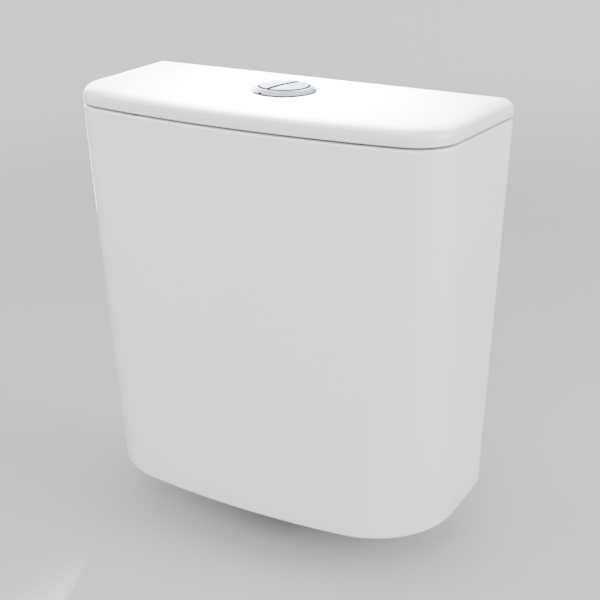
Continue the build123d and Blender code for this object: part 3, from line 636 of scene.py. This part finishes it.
def china(name, node, profile, to_hole, hole_radius, sizes, least, bare_and_shaded, holes=()):
    """Closed china wall: each row is the plan drawn in by the profile's inset, at its height.

    Where to_hole rises from 0 to 1, the row moves in a straight line from the plan's outline to
    a circle round the origin, at the same angle as each point of the outline. The faces that the
    given chooser picks are bare clay, made darker than the glaze as the seam's painted shade.
    """
    outline = plan_rows(sizes, profile[:, 0], least)
    angle = np.arctan2(outline[..., 1], outline[..., 0])
    circle = hole_radius * np.stack([np.cos(angle), np.sin(angle)], -1)
    flat = outline + to_hole[:, None, None] * (circle - outline)
    height = np.broadcast_to(profile[:, 1][:, None, None], flat.shape[:2] + (1,))
    points = np.concatenate([flat, height], axis=-1)
    shells = [(points, grid_faces(points))]
    return surface(name, node, shells, holes=holes, apart=bare_and_shaded, second="clay_and_seam_shade")


def toward_hole(inset, height, hole_first, steps=26):
    """Rows of one flat face: profile pairs that stay, and their shares of the way to the hole.

    The shares go as t^0.8, which draws the rows together near the hole.
    """
    share = np.linspace(0, 1, steps) ** 0.8
    return np.tile([inset, height], (steps, 1)), share[::-1] if hole_first else share


def china_tank():
    """Tank wall as one closed ring: hole, underside, outside, rim, inside, floor."""
    foot = quarter(FOOT_ROUND)
    rim = quarter(RIM_ROUND)[::-1]
    lip = quarter(RIM_INNER_ROUND)
    floor = quarter(FLOOR_ROUND)[::-1]
    underside, to_under = toward_hole(FOOT_ROUND, 0.0, hole_first=True)
    inner_floor, to_inner = toward_hole(CHINA_WALL + FLOOR_ROUND, CHINA_FLOOR, hole_first=False)
    rim[:, 1] = TANK_HEIGHT - rim[:, 1]
    lip = np.stack([CHINA_WALL - lip[:, 0], TANK_HEIGHT - lip[:, 1]], -1)
    floor = np.stack([CHINA_WALL + floor[:, 0], CHINA_FLOOR + floor[:, 1]], -1)
    outside = straight(foot[-1], rim[0])
    inside = straight(lip[-1], floor[0])
    runs = [underside, foot[1:], outside, rim, lip, inside, floor, inner_floor[1:]]
    profile = np.concatenate(runs)
    to_hole = np.zeros(len(profile))
    to_hole[: len(underside)] = to_under
    to_hole[-len(to_inner) + 1 :] = to_inner[1:]
    share = (profile[:, 1] / TANK_HEIGHT)[:, None]
    sizes = FOOT_PLAN + share * (TOP_PLAN - FOOT_PLAN)
    up, back = (0, 0, 1), (0, 1, 0)
    holes = [((INLET_X, 0, CHINA_FLOOR / 2), up, INLET_HOLE, CHINA_FLOOR)]
    for side in (-1, 1):
        holes.append(((side * BOLT_X, 0, CHINA_FLOOR / 2), up, BOLT_HOLE, CHINA_FLOOR))
        middle = (side * SCREW_X, WALL - CHINA_WALL / 2, SCREW_HEIGHT)
        holes.append((middle, back, SCREW_HOLE, CHINA_WALL))

    def on_rim(centres, normals):
        """The flat of the rim and the start of its roundings: bare clay, darkened as the seam's
        painted shade.
        """
        return centres[:, 2] > TANK_HEIGHT - RIM_SEAM_SHADE

    return china(
        "china_tank",
        "cistern_body",
        profile,
        to_hole,
        hole_radius=OUTLET_HOLE,
        sizes=sizes,
        least=LEAST_CORNER,
        bare_and_shaded=on_rim,
        holes=holes,
    )


def china_lid():
    """Lid as one closed ring: hole, top, round edge, side, underside, rib, recess."""
    edge = quarter(LID_EDGE_ROUND, steps=17)
    edge[:, 1] = LID_TOP - edge[:, 1]
    lower = quarter(LID_LOWER_ROUND, steps=6)[::-1]
    lower[:, 1] = LID_BASE + lower[:, 1]
    rib_low = LID_BASE - LID_RIB_DEPTH
    ceiling = LID_BASE + LID_RECESS
    rib_out, rib_in = LID_RIB_INSET, LID_RIB_INSET + LID_RIB_WIDTH
    soft, near = LID_RIB_ROUND, ROUND_MIDDLE * LID_RIB_ROUND
    rib = [
        (rib_out, LID_BASE),
        (rib_out, rib_low + soft),
        (rib_out + near, rib_low + near),
        (rib_out + soft, rib_low),
        (rib_in - soft, rib_low),
        (rib_in - near, rib_low + near),
        (rib_in, rib_low + soft),
        (rib_in, ceiling - soft),
        (rib_in + near, ceiling - near),
    ]
    top, to_top = toward_hole(LID_EDGE_ROUND, LID_TOP, hole_first=True)
    recess, to_recess = toward_hole(rib_in + soft, ceiling, hole_first=False)
    profile = np.concatenate([top, edge[1:], lower, rib, recess])
    to_hole = np.zeros(len(profile))
    to_hole[: len(top)] = to_top
    to_hole[-len(recess) :] = to_recess
    sizes = np.tile(TOP_PLAN, (len(profile), 1))

    def under_edge(centres, normals):
        """Underside round the rib and start of the lower rounding: bare clay, darkened as painted
        seam shade.
        """
        return centres[:, 2] < LID_BASE + LID_SEAM_SHADE

    return china(
        "china_lid",
        "cistern_lid",
        profile[::-1],
        to_hole[::-1],
        hole_radius=LID_HOLE,
        sizes=sizes,
        least=LID_LEAST_CORNER,
        bare_and_shaded=under_edge,
    )


def section(near, far, low, high):
    """Corners of an upright rectangle of (radius, height) or (across, height) pairs."""
    return [(near, low), (far, low), (far, high), (near, high)]


def softened(corners, radius, steps=5):
    """Closed outline with each corner replaced by a small curve that starts radius before it.

    The curve is (1 - t)^2 * before + 2 * t * (1 - t) * corner + t^2 * after.
    """
    corner = np.array(corners, float)

    def toward(neighbour):
        """Point on the way to the neighbour: radius away, or 0.45 of the way if that is less."""
        way = neighbour - corner
        length = np.linalg.norm(way, axis=1)[:, None]
        return corner + way / length * np.minimum(radius, 0.45 * length)

    before, after = toward(np.roll(corner, 1, 0))[:, None], toward(np.roll(corner, -1, 0))[:, None]
    t = np.linspace(0, 1, steps)[None, :, None]
    curve = (1 - t) ** 2 * before + 2 * t * (1 - t) * corner[:, None] + t**2 * after
    return curve.reshape(-1, 2)


def refined(profile, low, high, radius, step):
    """The profile with rows a step apart added on its upright run at that radius."""
    extra = np.arange(low + step, high, step)
    for index in range(len(profile)):
        here, there = profile[index], profile[(index + 1) % len(profile)]
        upright = abs(here[0] - radius) < 1e-6 and abs(there[0] - radius) < 1e-6
        if upright and abs(there[1] - here[1]) > (high - low) / 2:
            heights = extra if there[1] > here[1] else extra[::-1]
            rows = np.stack([np.full_like(heights, radius), heights], -1)
            return np.concatenate([profile[: index + 1], rows, profile[index + 1 :]])
    return profile


def threaded(low, high, crest, pitch, depth):
    """Reshape that cuts a screw thread: the radius falls by depth times a triangle wave.

    The wave's phase is height / pitch - angle / one turn. Crests and roots are cut flat by
    clip(1.4 * wave - 0.2, 0, 1), and the cut fades in and out over one pitch.
    """

    def cut(radius, height, angle):
        phase = height / pitch - angle / (2 * math.pi)
        wave = np.abs(2 * (phase - np.floor(phase)) - 1)
        wave = np.clip(1.4 * wave - 0.2, 0, 1)
        fade = np.clip(np.minimum(height - low, high - height) / pitch, 0, 1)
        return radius - depth * wave * fade * (np.abs(radius - crest) < 1e-6), height

    return cut


def turned_shell(profile, columns=128, reshape=None, centre=(0.0, 0.0)):
    """Closed ring of (radius, height) pairs carried round an upright axis."""
    angle = np.linspace(0, 2 * math.pi, columns, endpoint=False)[None, :]
    radius, height = profile.T[:, :, None]
    if reshape is not None:
        radius, height = reshape(radius, height, angle)
    points = round_points(radius, height, angle, centre)
    return points, grid_faces(points)


def button_ring():
    """Bezel: a crowned ring, rounded at its lip and its edge, with a notch pressed in its rim.

    Its top is the parabola through the edge, the crown halfway and the lip.
    """
    lip = BEZEL_BASE + BEZEL_RISE
    edge = BEZEL_BASE + BEZEL_EDGE
    crown = edge + BEZEL_CROWN_SHARE * (lip - edge)
    share = np.linspace(0, 1, 29)
    slope, bend = 4 * crown - 3 * edge - lip, 2 * edge + 2 * lip - 4 * crown
    height = edge + share * slope + share**2 * bend
    radius = BEZEL_RADIUS - (BEZEL_RADIUS - BEZEL_BORE) * share
    soft, near = BEZEL_ROUND, ROUND_MIDDLE * BEZEL_ROUND
    lower = [(BEZEL_BORE, BEZEL_BASE), (BEZEL_RADIUS - soft, BEZEL_BASE)]
    rim = [(BEZEL_RADIUS - near, BEZEL_BASE + near)]
    top = np.stack([radius, height], -1)
    top[-1] = (BEZEL_BORE + near, lip - near / 3)
    bore = [(BEZEL_BORE, lip - soft), (BEZEL_BORE, BEZEL_BASE + soft)]
    profile = np.concatenate([lower, rim, top, bore])

    def from_notch(angle):
        """Distance along the rim from the notch's middle."""
        return np.abs(np.angle(np.exp(1j * (angle - NOTCH_ANGLE)))) * BEZEL_RADIUS

    def notched(radius, height, angle):
        """Draws the rim in by a smooth box of the notch's width and height."""
        side = np.clip((NOTCH_WIDTH / 2 - from_notch(angle)) / NOTCH_SOFT + 0.5, 0, 1)
        low = np.clip((BEZEL_BASE + NOTCH_HEIGHT - height) / NOTCH_SOFT + 0.5, 0, 1)
        limit = BEZEL_RADIUS - NOTCH_DEPTH
        return radius - side * low * np.maximum(radius - limit, 0), height

    def bore_shade_faces(centres, normals):
        """The bore, the crevice round the foot and the notch, painted near-black as the shade they
        lie in.
        """
        x, y, z = centres.T
        reach, height = np.hypot(x, y), z - BEZEL_BASE
        inward = (centres[:, :2] * normals[:, :2]).sum(1) < 0
        bore = inward & (reach < BEZEL_BORE + soft)
        notch = (from_notch(np.arctan2(y, x)) < NOTCH_WIDTH / 2) & (height < NOTCH_HEIGHT)
        # painted shade along the bezel's foot
        foot_shade = height < SHADOW_LINE
        return bore | ((notch | foot_shade) & (reach > BEZEL_BORE + 2 * soft))

    shells = [turned_shell(profile, columns=720, reshape=notched)]
    return surface("button_ring", "button_bezel", shells, apart=bore_shade_faces)


def split_x(y):
    """Sideways place of the split: shift + sway * sin(curl * turn) + bow * cos(turn).

    The turn goes from -90 degrees at the disc's front to 90 degrees at its back.
    """
    turn = math.pi * y / (2 * BUTTON_RADIUS)
    return SPLIT_SHIFT + SPLIT_SWAY * np.sin(SPLIT_CURL * turn) + SPLIT_BOW * np.cos(turn)


def split_bevel(y):
    """Width of the bevel along the split, which grows evenly towards the back."""
    return SPLIT_BEVEL * (1 + BEVEL_GROWTH * y / BUTTON_RADIUS)


def button_plate(side):
    """Half of the domed disc. Each column runs straight across from the split to the rim.

    The top is a sphere's cap. Near the rim it falls by e - sqrt(e^2 - (e - b)^2), where b is the
    distance to the edge and e the edge's small round; along the split it falls by the bevel
    less the distance to the split. The right half also dips a little towards the split, as
    (1 - distance / width)^2.
    """
    share = np.linspace(0.0, 1.0, 170)
    y = -np.cos(math.pi * share) * np.sqrt(BUTTON_RADIUS**2 - SPLIT_SWAY**2)
    split = split_x(y) + side * SPLIT_GAP / 2
    rim = np.maximum(np.sqrt(BUTTON_RADIUS**2 - y**2), side * split + LEAST_STRIP)
    bevel = split_bevel(y)
    whole = rim - side * split
    across = 0.5 - 0.5 * np.cos(math.pi * np.linspace(0, 1, 48)[1:, None])
    first = np.minimum(np.linspace(0, 1, 4)[:, None] * bevel, 0.5 * whole)
    x = np.concatenate([first, first[-1] + across * (whole - first[-1])]) * side + split
    sphere = (BUTTON_RADIUS**2 + BUTTON_DOME**2) / (2 * BUTTON_DOME)
    top = BUTTON_EDGE + BUTTON_DOME - sphere + np.sqrt(sphere**2 - x**2 - y**2)
    to_rim = np.clip(BUTTON_RADIUS - np.hypot(x, y), 0, BUTTON_RIM)
    top = top - BUTTON_RIM + np.sqrt(np.maximum(BUTTON_RIM**2 - (BUTTON_RIM - to_rim) ** 2, 0))
    top = top - np.maximum(bevel - np.abs(x - split), 0)
    if side > 0:
        top = top - HALF_DIP * np.maximum(1 - np.abs(x - split) / DIP_WIDTH, 0) ** 2
    upper = np.stack([x, np.broadcast_to(y, x.shape), top], -1)
    lower = upper[::-1].copy()
    lower[..., 2] = BUTTON_BASE
    points = np.concatenate([upper, lower])
    return points, capped_faces(points)


def button_skirt(side):
    """Arc-shaped wall under the plate, with the outward lip that stops the button.

    It ends a small step away from the split, at the angle whose sine is the split's x / radius.
    """
    inner, outer = BUTTON_RADIUS - SKIRT_WALL, BUTTON_RADIUS - SKIRT_INSET
    lip = BUTTON_RADIUS + SKIRT_LIP
    outline = [
        (inner, SKIRT_LOW),
        (lip, SKIRT_LOW),
        (lip, SKIRT_LIP_TOP),
        (outer, SKIRT_LIP_TOP),
        (outer, BUTTON_BASE),
        (inner, BUTTON_BASE),
    ]
    radius, height = softened(outline, SKIRT_ROUND, steps=3).T[:, :, None]
    reach = side * split_x(np.array([-inner, inner])) + SPLIT_GAP
    front, back = np.arcsin(reach / inner)
    angle = np.linspace(front - math.pi / 2, math.pi / 2 - back, 90)[None, :]
    points = round_points(radius, height, angle) * (side, 1, 1)
    return points, capped_faces(points)


def button_wall(side):
    """Wall under the plate's inner edge: its section is carried along the split's curve."""
    near, far = SPLIT_GAP / 2, SPLIT_GAP / 2 + SKIRT_WALL
    outline = section(near, far, SKIRT_LOW, BUTTON_BASE)
    across, height = softened(outline, SKIRT_ROUND, steps=3).T[:, :, None]
    y = np.linspace(-1, 1, 60)[None, :] * (BUTTON_RADIUS - WALL_END)
    points = np.stack(np.broadcast_arrays(split_x(y) + side * across, y, height), -1)
    return points, capped_faces(points)


def flush_button(name, node, side):
    """Half disc, its skirt and wall, and the boss that holds its rod."""
    outline = section(BOSS_BORE, BOSS_RADIUS, SKIRT_LOW, BUTTON_BASE)
    boss = turned_shell(softened(outline, BOSS_ROUND), 48, centre=(side * ROD_X, 0.0))

    def gap_shade_faces(centres, normals):
        """The bevel along the split, the steep sides and all below the top are painted near-black as
        gap shade.
        """
        x, y, z = centres.T
        along = np.abs(x - split_x(y)) < SPLIT_GAP / 2 + split_bevel(y)
        steep = normals[:, 2] < 0.6
        return along | steep | (z < BUTTON_EDGE - HALF_DIP - BUTTON_RIM)

    shells = [button_plate(side), button_skirt(side), button_wall(side), boss]
    return surface(name, node, shells, apart=gap_shade_faces)


def coil_spring(name, node):
    """Wire coil with flat end turns.

    A point goes round the coil's circle while it climbs by clip((t - e) / (1 - 2 * e), 0, 1) of
    the free height, where e is the share of each flat end; the wire's circle is carried along.
    """
    low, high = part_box(node)
    centre = (low + high) / 2
    coil = (high[0] - low[0]) / 2 - SPRING_WIRE
    share = np.linspace(0, 1, 300)[None, :]
    turn = 2 * math.pi * SPRING_TURNS * share
    climb = np.clip((share - SPRING_FLAT) / (1 - 2 * SPRING_FLAT), 0, 1)
    middle = low[2] + SPRING_WIRE + climb * (high[2] - low[2] - 2 * SPRING_WIRE)
    round_wire = np.linspace(0, 2 * math.pi, 12, endpoint=False)[:, None]
    radius = coil + SPRING_WIRE * np.cos(round_wire)
    points = round_points(radius, middle + SPRING_WIRE * np.sin(round_wire), turn, centre)
    piece = surface(name, node, [(points, capped_faces(points))])
    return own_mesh(piece)


def valve_tail():
    """Flange, seat and threaded tail of the flush valve, turned in one piece."""
    shoulder = TAIL_THREAD - TAIL_CORE
    outline = [
        (TAIL_BORE, TAIL_END),
        (TAIL_THREAD, TAIL_END),
        (TAIL_THREAD, TAIL_THREAD_TOP),
        (TAIL_CORE, TAIL_THREAD_TOP + shoulder),
        (TAIL_CORE, FLANGE_BASE),
        (TAIL_FLANGE, FLANGE_BASE),
        (TAIL_FLANGE, FLANGE_TOP),
        (SEAT_RADIUS, FLANGE_TOP),
        (SEAT_RADIUS, SEAT_TOP),
        (SEAT_BORE, SEAT_TOP),
        (SEAT_BORE, FLANGE_BASE),
        (TAIL_BORE, FLANGE_BASE - shoulder),
    ]
    profile = softened(outline, radius=0.8 * mm)
    low, high = TAIL_END + 0.6 * mm, TAIL_THREAD_TOP - 0.2 * mm
    clear = 0.2 * mm
    profile = refined(profile, low + clear, high - clear, TAIL_THREAD, step=0.3 * mm)
    cut = threaded(low, high, TAIL_THREAD, TAIL_PITCH, TAIL_THREAD_DEPTH)
    shells = [turned_shell(profile, columns=160, reshape=cut)]
    return surface("valve_tail", "valve_base", shells)


def fill_inlet():
    """Riser pipe of the fill valve, with its flange and the half-inch thread under the floor."""
    shoulder = INLET_THREAD - INLET_CORE
    outline = [
        (INLET_BORE, INLET_END),
        (INLET_THREAD, INLET_END),
        (INLET_THREAD, INLET_THREAD_TOP),
        (INLET_CORE, INLET_THREAD_TOP + shoulder),
        (INLET_CORE, FLANGE_BASE),
        (INLET_FLANGE, FLANGE_BASE),
        (INLET_FLANGE, FLANGE_TOP),
        (RISER_RADIUS, FLANGE_TOP),
        (RISER_RADIUS, RISER_TOP),
        (RISER_BORE, RISER_TOP),
        (RISER_BORE, INLET_BORE_TOP),
        (INLET_BORE, INLET_BORE_TOP),
    ]
    profile = softened(outline, radius=0.6 * mm)
    low, high = INLET_END + 0.4 * mm, INLET_THREAD_TOP - 0.2 * mm
    clear = 0.4 * mm
    profile = refined(profile, low + clear, high - clear, INLET_THREAD, step=0.26 * mm)
    cut = threaded(low, high, INLET_THREAD, INLET_PITCH, INLET_THREAD_DEPTH)
    shells = [turned_shell(profile, columns=96, reshape=cut, centre=(INLET_X, 0.0))]
    return surface("fill_inlet", "fill_riser", shells)


def pan_bolts():
    """Two M8 bolts with domed heads inside the tank and free threads below."""
    outline = [
        (AXIS, BOLT_END),
        (BOLT_THREAD, BOLT_END),
        (BOLT_THREAD, BOLT_THREAD_TOP),
        (BOLT_CORE, BOLT_THREAD_TOP + BOLT_SHOULDER),
        (BOLT_CORE, BOLT_HEAD_BASE),
        (BOLT_HEAD, BOLT_HEAD_BASE),
        (BOLT_HEAD, BOLT_HEAD_SIDE),
        (BOLT_CROWN, BOLT_CROWN_SIDE),
        (AXIS, BOLT_TOP),
    ]
    profile = softened(outline, radius=0.5 * mm)
    low, high = BOLT_END + 0.4 * mm, BOLT_THREAD_TOP - 0.1 * mm
    rows_low, rows_high = low + 0.3 * mm, high - 0.2 * mm
    profile = refined(profile, rows_low, rows_high, BOLT_THREAD, step=0.2 * mm)
    cut = threaded(low, high, BOLT_THREAD, BOLT_PITCH, BOLT_THREAD_DEPTH)
    shells = [turned_shell(profile, 48, cut, centre=place) for place in BOLT_PLACES]
    return surface("pan_bolts", "coupling_bolts", shells)


def nut_shell(flats, hole, low, high, centre):
    """Six-sided nut: the chamfer's circle touches the flats, and the corners fall away from it.

    A side lies flats / 2 / cos(turn) from the axis, where turn is the angle from its middle.
    """
    angle = np.linspace(0, 2 * math.pi, 144, endpoint=False)[None, :]
    turn = (angle + math.pi / 6) % (math.pi / 3) - math.pi / 6
    side = flats / 2 / np.cos(turn)
    soft = NUT_ROUND * flats
    fall = NUT_CHAMFER * (side - flats / 2) + NUT_EDGE * flats
    face = NUT_FACE * flats / 2
    rows = [
        (hole, low + soft),
        (hole + soft, low),
        (face, low),
        (side, low + fall),
        (side, high - fall),
        (face, high),
        (hole + soft, high),
        (hole, high - soft),
    ]
    radius = np.concatenate([np.broadcast_to(reach, angle.shape) for reach, _ in rows])
    height = np.concatenate([np.broadcast_to(level, angle.shape) for _, level in rows])
    points = round_points(radius, height, angle, centre)
    return points, grid_faces(points)


def nuts(name, node, hole, places):
    """Like nuts in one piece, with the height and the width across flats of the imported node."""
    low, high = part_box(node)
    shells = [nut_shell(high[1] - low[1], hole, low[2], high[2], place) for place in places]
    return surface(name, node, shells, smooth_angle=20.0)


def coupling_ring():
    """Soft ring between tank and pan, with rounded shoulders, that tapers downwards."""
    outline = [
        (COUPLING_BORE, COUPLING_HIGH),
        (COUPLING_RADIUS, COUPLING_HIGH),
        (COUPLING_RADIUS, COUPLING_SHOULDER),
        (COUPLING_TIP, COUPLING_LOW),
        (COUPLING_BORE, COUPLING_LOW),
    ]
    shells = [turned_shell(softened(outline, radius=2.0 * mm, steps=9))]
    return surface("coupling_ring", "coupling_washer", shells)


china_tank()
china_lid()
button_ring()
flush_button("full_button_cap", "full_flush_button", side=-1)
flush_button("half_button_cap", "half_flush_button", side=1)
coil_spring("full_coil", "full_button_spring")
coil_spring("half_coil", "half_button_spring")
valve_tail()
fill_inlet()
pan_bolts()
coupling_ring()
nuts("tail_nut", "valve_backnut", TAIL_NUT_BORE, [(0.0, 0.0)])
nuts("inlet_nut", "riser_backnut", INLET_NUT_BORE, [(INLET_X, 0.0)])
nuts("pan_bolt_nuts", "bolt_nuts", BOLT_NUT_BORE, BOLT_PLACES)


# Stage: floor, light and camera


def stage_floor():
    """Wide pale floor at the part's lowest point; far behind, it rises as the distance squared."""
    depth = np.linspace(-FLOOR_DEPTH, FLOOR_DEPTH, 60)[:, None]
    width = np.linspace(-FLOOR_WIDTH, FLOOR_WIDTH, 30)[None, :]
    height = cad_box[0][2] + FLOOR_RISE * np.maximum(depth - FLOOR_BEND, 0.0) ** 2
    points = np.stack(np.broadcast_arrays(width, depth, height), -1)
    faces = grid_faces(points, rows_close=False, columns_close=False)
    mesh = bpy.data.meshes.new("floor")
    mesh.from_pydata(points.reshape(-1, 3).tolist(), [], faces)
    mesh.shade_smooth()
    made = Finish("pale_floor")
    length = {"operation": "LENGTH"}
    away = made.node("ShaderNodeVectorMath", length, [made.place()], output=1)
    tone = made.blend(made.noise(scale=3.0), rgba(0.47, 0.47, 0.467), rgba(0.5, 0.5, 0.496))
    # Painted falloff: the floor is darker near the part, where the lamps' spill lands, and lighter
    # from 1 to 2.4 m away, where less light reaches.
    made.set(Base_Color=made.blend(away.above(1.0, 2.4), tone, rgba(0.68, 0.68, 0.675)))
    made.set(Roughness=0.8, Specular_IOR_Level=0.0)
    mesh.materials.append(made.material)
    placed("floor", mesh)


def softbox(name, place, size, power, aim=(0.0, 0.0, 0.19), spread=180.0):
    """Area light that faces the aim point, its first side along the tank's front.

    A small spread is the narrow beam of a box with a grid.
    """
    lamp = bpy.data.lights.new(name, "AREA")
    lamp.shape = "RECTANGLE"
    lamp.size, lamp.size_y = size
    lamp.energy = power
    lamp.spread = math.radians(spread)
    holder = placed(name, lamp)
    holder.location = place
    back = (Vector(place) - Vector(aim)).normalized()
    along = Vector((1, 0, 0))
    along = (along - along.dot(back) * back).normalized()
    holder.rotation_euler = Matrix((along, back.cross(along), back)).transposed().to_euler()
    holder.visible_camera = False
    return holder


def around(azimuth, elevation, distance, base=TANK_HEIGHT / 2):
    """Place seen from a height on the tank: degrees from the front towards the right, then up."""
    turn, up = math.radians(azimuth), math.radians(elevation)
    level = distance * math.cos(up)
    return (level * math.sin(turn), -level * math.cos(turn), base + distance * math.sin(up))


def studio():
    """White surround, a narrow beam on the lid, and soft boxes all round the tank."""
    world = bpy.data.worlds.new("studio")
    bpy.context.scene.world = world
    world.use_nodes = True
    background = world.node_tree.nodes["Background"]
    background.inputs["Color"].default_value = rgba(1.0, 1.0, 1.0)
    background.inputs["Strength"].default_value = SURROUND_LIGHT
    back = CAMERA_AZIMUTH + 180.0

    lid = (0.0, WALL - LID_MIDDLE, LID_TOP)
    above = around(back, elevation=50.0, distance=1.4, base=LID_TOP)
    beam = softbox("top", above, size=(0.22, 0.1), power=7.5, aim=lid, spread=13.0)
    beam.visible_glossy = False

    # Cool boxes that only the buttons and the glaze reflect
    low = around(back + 11.46, elevation=14.0, distance=2.27)
    high = around(back + 14.32, elevation=32.0, distance=2.3)
    behind = softbox("behind", low, size=(2.4, 0.9), power=30.0)
    behind_high = softbox("behind_high", high, size=(2.6, 0.9), power=30.0)
    behind.data.color = behind_high.data.color = COOL_LIGHT

    # White boxes that are seen in the bezel's rim and in the tank's left edge
    over = around(-30.0, elevation=55.0, distance=2.0)
    rim_glow = softbox("rim_glow", over, size=(2.6, 0.6), power=75.0)
    beside, edge = (-0.75, 0.75, 0.1), (-0.15, 0.0, 0.2)
    edge_glow = softbox("edge_glow", beside, size=(0.5, 0.9), power=14.0, aim=edge)
    for box in (behind, behind_high, rim_glow, edge_glow):
        box.visible_diffuse = False

    front = around(CAMERA_AZIMUTH - 17.19, elevation=38.0, distance=2.0)
    softbox("front_high", front, size=(0.9, 0.9), power=17.0).visible_glossy = False
    left = around(-75.0, elevation=15.0, distance=2.2)
    softbox("left", left, size=(1.2, 1.2), power=14.0)
    right = around(98.0, elevation=20.0, distance=2.2)
    softbox("right", right, size=(1.2, 1.2), power=38.0)


def camera():
    """Stands where the photograph was taken from, and looks at the middle of the tank."""
    lens = bpy.data.cameras.new("camera")
    lens.lens = CAMERA_LENS
    lens.sensor_width = 36.0
    lens.clip_start = 0.01
    eye = placed("camera", lens)
    sight = around(CAMERA_AZIMUTH, CAMERA_ELEVATION, CAMERA_DISTANCE, base=0.0)
    eye.location = CAMERA_TARGET + Vector(sight)
    eye.rotation_euler = (CAMERA_TARGET - eye.location).to_track_quat("-Z", "Y").to_euler()
    bpy.context.scene.camera = eye


stage_floor()
studio()
camera()
